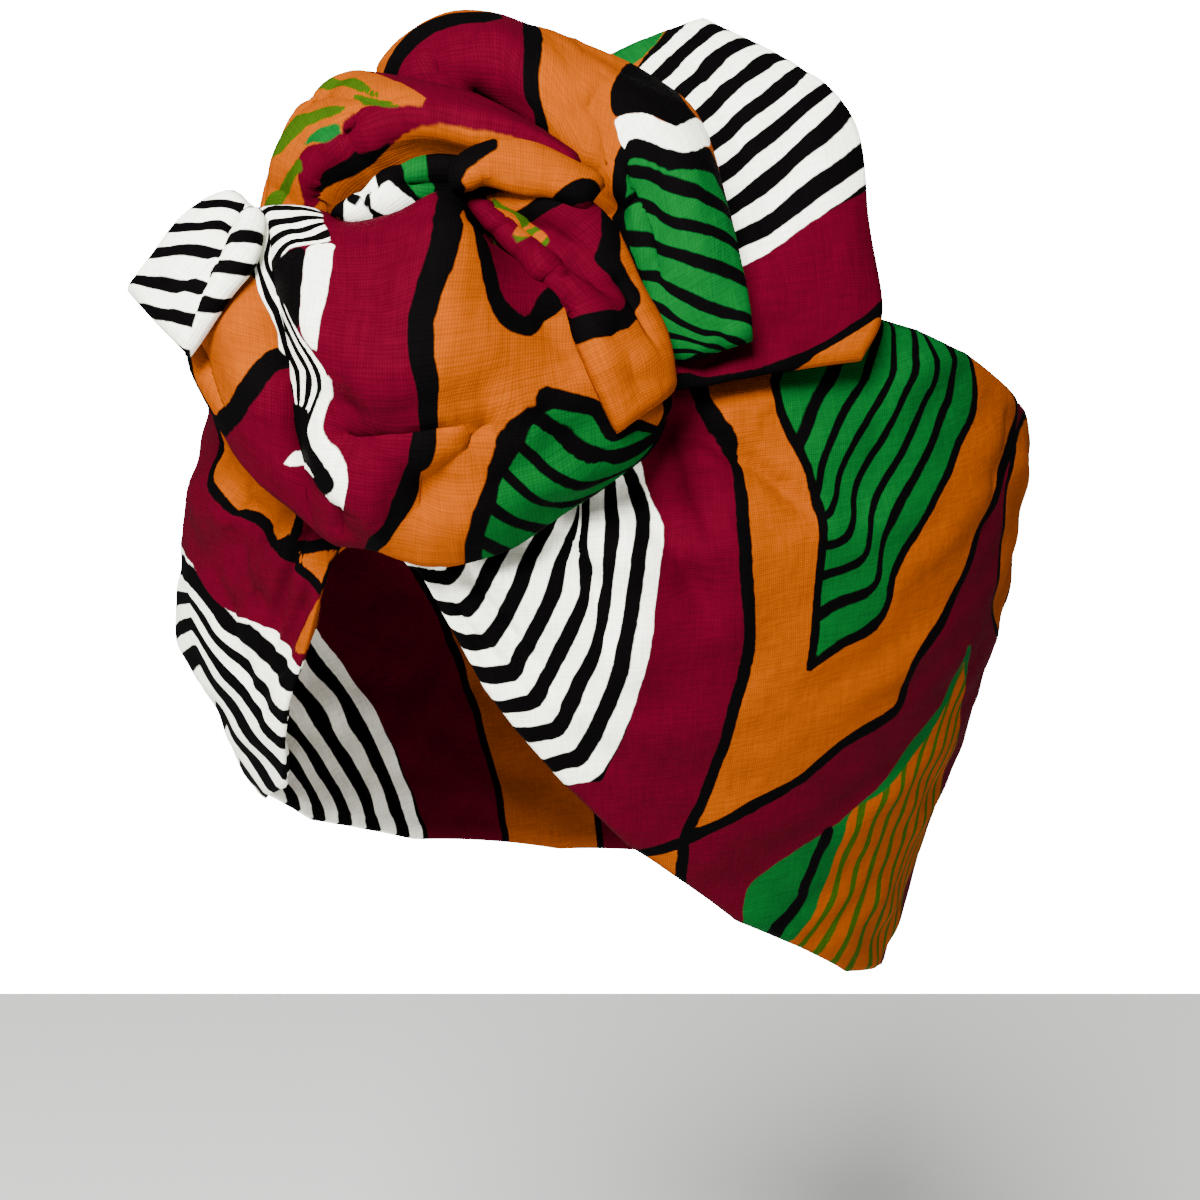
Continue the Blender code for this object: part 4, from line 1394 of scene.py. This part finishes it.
def print_figure_group():
    """One printed figure over what lies below it."""
    group, given, result = new_group("Print figure", {
        "Below": "Color", "Edge": "Float", "Dye": "Color", "Second": "Color", "Count": "Float",
        "Share": "Float", "Line": "Float", "Wobble": "Float",
    }, {"Colour": "Color"})
    edge = calculate(group, "ADD", given["Edge"], given["Wobble"])
    inside = step_down(group, edge, 0, PRINT_SOFT)
    count = calculate(group, "MULTIPLY_ADD", given["Wobble"], STRIPE_WOBBLE, given["Count"])
    part = calculate(group, "FRACT", calculate(group, "ADD", count, COUNT_SHIFT))
    apart = calculate(group, "ABSOLUTE", calculate(group, "SUBTRACT", part, 0.5))
    half_stripe = calculate(group, "MULTIPLY", given["Share"], 0.5)
    striped = step_down(group, apart, half_stripe, STRIPE_SOFT)
    fill = blend(group, striped, given["Dye"], given["Second"])
    figure = blend(group, inside, given["Below"], fill)
    half_line = calculate(group, "MULTIPLY", given["Line"], 0.5)
    outline = step_down(group, calculate(group, "ABSOLUTE", edge), half_line, PRINT_SOFT)
    has_line = calculate(group, "GREATER_THAN", given["Line"], LEAST_LINE)
    drawn = calculate(group, "MULTIPLY", outline, has_line)
    feed(group, result, Colour=blend(group, drawn, figure, DYES["black"]))
    return group


def woven_cotton_group():
    """Plain-woven cotton: threads that go over and under one another, the dye painted darker between them
    and lighter on their raised tops, and a little uneven.
    """
    group, given, result = new_group("Woven cotton", {"Place": "Vector", "Dye": "Color"}, {
        "Colour": "Color", "Roughness": "Float", "Height": "Float",
    })
    at = given["Place"]
    apart = add_node(group, "ShaderNodeSeparateXYZ")
    give(group, apart.inputs[0], at)
    threads = []
    for way in (0, 1):
        turns = calculate(group, "MULTIPLY", apart.outputs[way], math.pi / (THREAD * MM))
        threads.append(calculate(group, "SINE", turns))
    crossing = calculate(group, "MULTIPLY", *threads)
    raised = calculate(group, "POWER", calculate(group, "ABSOLUTE", crossing), THREAD_ROUND)
    under = calculate(group, "MULTIPLY", calculate(group, "LESS_THAN", crossing, 0), UNDER_DROP)
    raised = calculate(group, "SUBTRACT", raised, under)

    slubs = []
    for stretch in ((1, SLUB_STRETCH, 1), (SLUB_STRETCH, 1, 1)):
        drawn_out = add_node(group, "ShaderNodeMapping")
        feed(group, drawn_out, Vector=at, Scale=stretch)
        slubs.append(noise(group, drawn_out.outputs[0], SLUB_SCALE, 1))
    uneven = noise(group, at, UNEVEN_SCALE, 3)
    faded_dye = noise(group, at, FADED_SCALE, 2)
    # painted shade between the threads and painted light on their raised tops, then uneven threads and dye
    thread_shade_and_dye = calculate(group, "MULTIPLY_ADD", raised, LIGHT_ON_THREADS, SHADE_BETWEEN_THREADS)
    for share, value in (
        (SLUB_SHADE, slubs[0]), (SLUB_SHADE, slubs[1]), (UNEVEN_SHADE, uneven), (FADED_SHADE, faded_dye)
    ):
        thread_shade_and_dye = calculate(group, "MULTIPLY_ADD", value, share, thread_shade_and_dye)
    shaded = add_node(group, "ShaderNodeVectorMath", operation="SCALE")
    give(group, shaded.inputs[0], given["Dye"])
    feed(group, shaded, Scale=thread_shade_and_dye)

    height = calculate(group, "MULTIPLY", raised, THREAD_HEIGHT)
    fine_crumple = noise(group, at, FINE_CRUMPLE_SCALE, 2)
    height = calculate(group, "MULTIPLY_ADD", fine_crumple, FINE_CRUMPLE_HEIGHT, height)
    height = calculate(group, "MULTIPLY_ADD", slubs[1], SLUB_HEIGHT, height)
    rough = calculate(group, "MULTIPLY_ADD", uneven, ROUGH_CHANGE, ROUGH)
    feed(group, result, Colour=shaded.outputs[0], Roughness=rough, Height=height)
    return group


def printed_cotton(name, base, figures, groups):
    """The material of one piece: its print, chained figure over figure, on the woven cotton."""
    made = bpy.data.materials.new(name)
    made.use_nodes = True
    tree = made.node_tree
    at = add_node(tree, "ShaderNodeUVMap", uv_map="UVMap").outputs[0]
    wobble = calculate(tree, "MULTIPLY", noise(tree, at, WOBBLE_SCALE, 2), PRINT_WOBBLE)
    colour = DYES[base]
    for number, figure_name in enumerate(figures):
        figure = PRINT[figure_name]
        node = add_node(tree, "ShaderNodeGroup", node_tree=groups["figure"])
        edge = add_node(tree, "ShaderNodeAttribute", attribute_name=f"edge_{number}").outputs["Fac"]
        feed(
            tree, node, Below=colour, Edge=edge, Dye=DYES[figure["dye"]],
            Second=DYES[figure["second"] or figure["dye"]], Share=figure["share"],
            Line=figure["line"], Wobble=wobble,
        )
        if figure["guides"]:
            count = add_node(tree, "ShaderNodeAttribute", attribute_name=f"count_{number}")
            feed(tree, node, Count=count.outputs["Fac"])
        colour = node.outputs["Colour"]
    cotton = add_node(tree, "ShaderNodeGroup", node_tree=groups["cotton"])
    feed(tree, cotton, Place=at, Dye=colour)
    bump = add_node(tree, "ShaderNodeBump")
    feed(tree, bump, Distance=BUMP_HEIGHT * MM, Height=cotton.outputs["Height"])
    feed(
        tree, tree.nodes["Principled BSDF"], Base_Color=cotton.outputs["Colour"],
        Roughness=cotton.outputs["Roughness"], Normal=bump.outputs[0], Specular_IOR_Level=SPECULAR,
    )
    return made


def pale_floor():
    """A pale floor that ends behind the wrap."""
    ahead = Vector((-FACING.x, -FACING.y, 0)).normalized()
    side = Vector((-ahead.y, ahead.x, 0))
    sheet = bmesh.new()
    bmesh.ops.create_grid(sheet, x_segments=1, y_segments=1, size=1)
    for vertex in sheet.verts:
        forward = FLOOR_END if vertex.co.y > 0 else FLOOR_START
        sideways = side * (vertex.co.x * FLOOR_HALF_WIDTH)
        vertex.co = ahead * forward + sideways + Vector((0, 0, FLOOR_HEIGHT))
    floor = smooth_piece("floor", sheet)
    pale = bpy.data.materials.new("floor")
    pale.use_nodes = True
    shader = pale.node_tree.nodes["Principled BSDF"]
    feed(pale.node_tree, shader, Base_Color=FLOOR_COLOUR, Roughness=FLOOR_ROUGH)
    floor.data.materials.append(pale)


def white_surround():
    """A white surround, brighter to the camera than the light that it gives."""
    world = bpy.data.worlds.new("surround")
    world.use_nodes = True
    tree = world.node_tree
    seen = add_node(tree, "ShaderNodeLightPath").outputs["Is Camera Ray"]
    strength = calculate(tree, "MULTIPLY_ADD", seen, WORLD_SEEN - WORLD_LIGHT, WORLD_LIGHT)
    feed(tree, tree.nodes["Background"], Color=(1, 1, 1, 1), Strength=strength)
    bpy.context.scene.world = world


def studio_light(name, at, size, power):
    """A square light of this size and power, turned towards the wrap."""
    data = bpy.data.lights.new(name, "AREA")
    data.shape = "SQUARE"
    data.size = size
    data.energy = power
    made = in_scene(name, data)
    made.location = at
    made.rotation_euler = (Vector(LIGHTS_AIM) - Vector(at)).to_track_quat("-Z", "Y").to_euler()


def set_camera():
    """The camera where the photograph was taken from."""
    data = bpy.data.cameras.new("Camera")
    data.lens = LENS
    data.sensor_width = SENSOR
    camera = in_scene("Camera", data)
    camera.location = FACING * SIGHT * MM
    camera.rotation_euler = (-FACING).to_track_quat("-Z", "Y").to_euler()
    bpy.context.scene.camera = camera


def dress(piece, node):
    """Puts the piece on the part's body in the place of its solid, which is hidden."""
    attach(piece, "root")
    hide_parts(node)


def lay_cloth(node, points, uv, uv_read, thick, ends, seed, groups):
    """Makes one piece of cloth: creased, rounded over at its edges, crumpled, printed and given its
    thickness. uv_read says where on the flat cloth each point's print is read."""
    base, figures = PIECE_PRINT[node]
    # the band is thickened inwards and the folds towards the camera, so the side of a fold that
    # shows lies a thickness beyond its points
    beyond = 0 if node == "head_band" else thick * MM
    normals = grid_normals(points)
    moved = creased(points + normals * beyond, uv, CREASES[node])
    points = points + normals * moved[..., None]
    normals = grid_normals(points)
    drop, weights = turned_edges(points, ends)
    moved = crumpled(uv, seed) * (CRUMPLE_AT_RIM + (1 - CRUMPLE_AT_RIM) * weights)
    points = points + normals * (moved - drop)[..., None]
    outer = points + normals * (beyond * (RIM_SHARE + (1 - RIM_SHARE) * weights))[..., None]
    fields = print_fields(figures, outer, uv, uv_read)
    piece = cloth_piece(node + "_cloth", points, uv, fields)
    thicken(piece, thick, weights)
    piece.data.materials.append(printed_cotton(node, base, figures, groups))
    dress(piece, node)


def lay_band(groups):
    """The band, its print mirrored beyond NEAR_END."""
    points, uv = band_grid()
    near_end = math.radians(NEAR_END) * ROUND_RADIUS * MM
    uv_read = uv.copy()
    uv_read[..., 0] = np.where(uv[..., 0] > near_end, 2 * near_end - uv[..., 0], uv[..., 0])
    lay_cloth("head_band", points, uv, uv_read, BAND_THICK, False, CRUMPLE_SEED, groups)


def lay_folds(groups):
    """The rosette's folds, the tail and the panel."""
    for seed, (node, (sections, creases, *reaches)) in enumerate(FOLDS.items(), CRUMPLE_SEED + 1):
        points, uv = fold_grid(sections, creases, *reaches)
        lay_cloth(node, points, uv, uv, CLOTH_THICK, True, seed, groups)


def lay_knot(groups):
    """The padded knot behind the rosette."""
    knot = knot_piece()
    knot.data.materials.append(printed_cotton("knot", "burgundy", (), groups))
    dress(knot, "knot")


def set_stage():
    """The floor, the surround and the lights."""
    pale_floor()
    white_surround()
    studio_light("Window", LIGHT_AT, LIGHT_SIZE, LIGHT_POWER)
    studio_light("Fill", FILL_AT, FILL_SIZE, FILL_POWER)


def main():
    groups = {"figure": print_figure_group(), "cotton": woven_cotton_group()}
    lay_band(groups)
    lay_folds(groups)
    lay_knot(groups)
    set_camera()
    set_stage()


main()
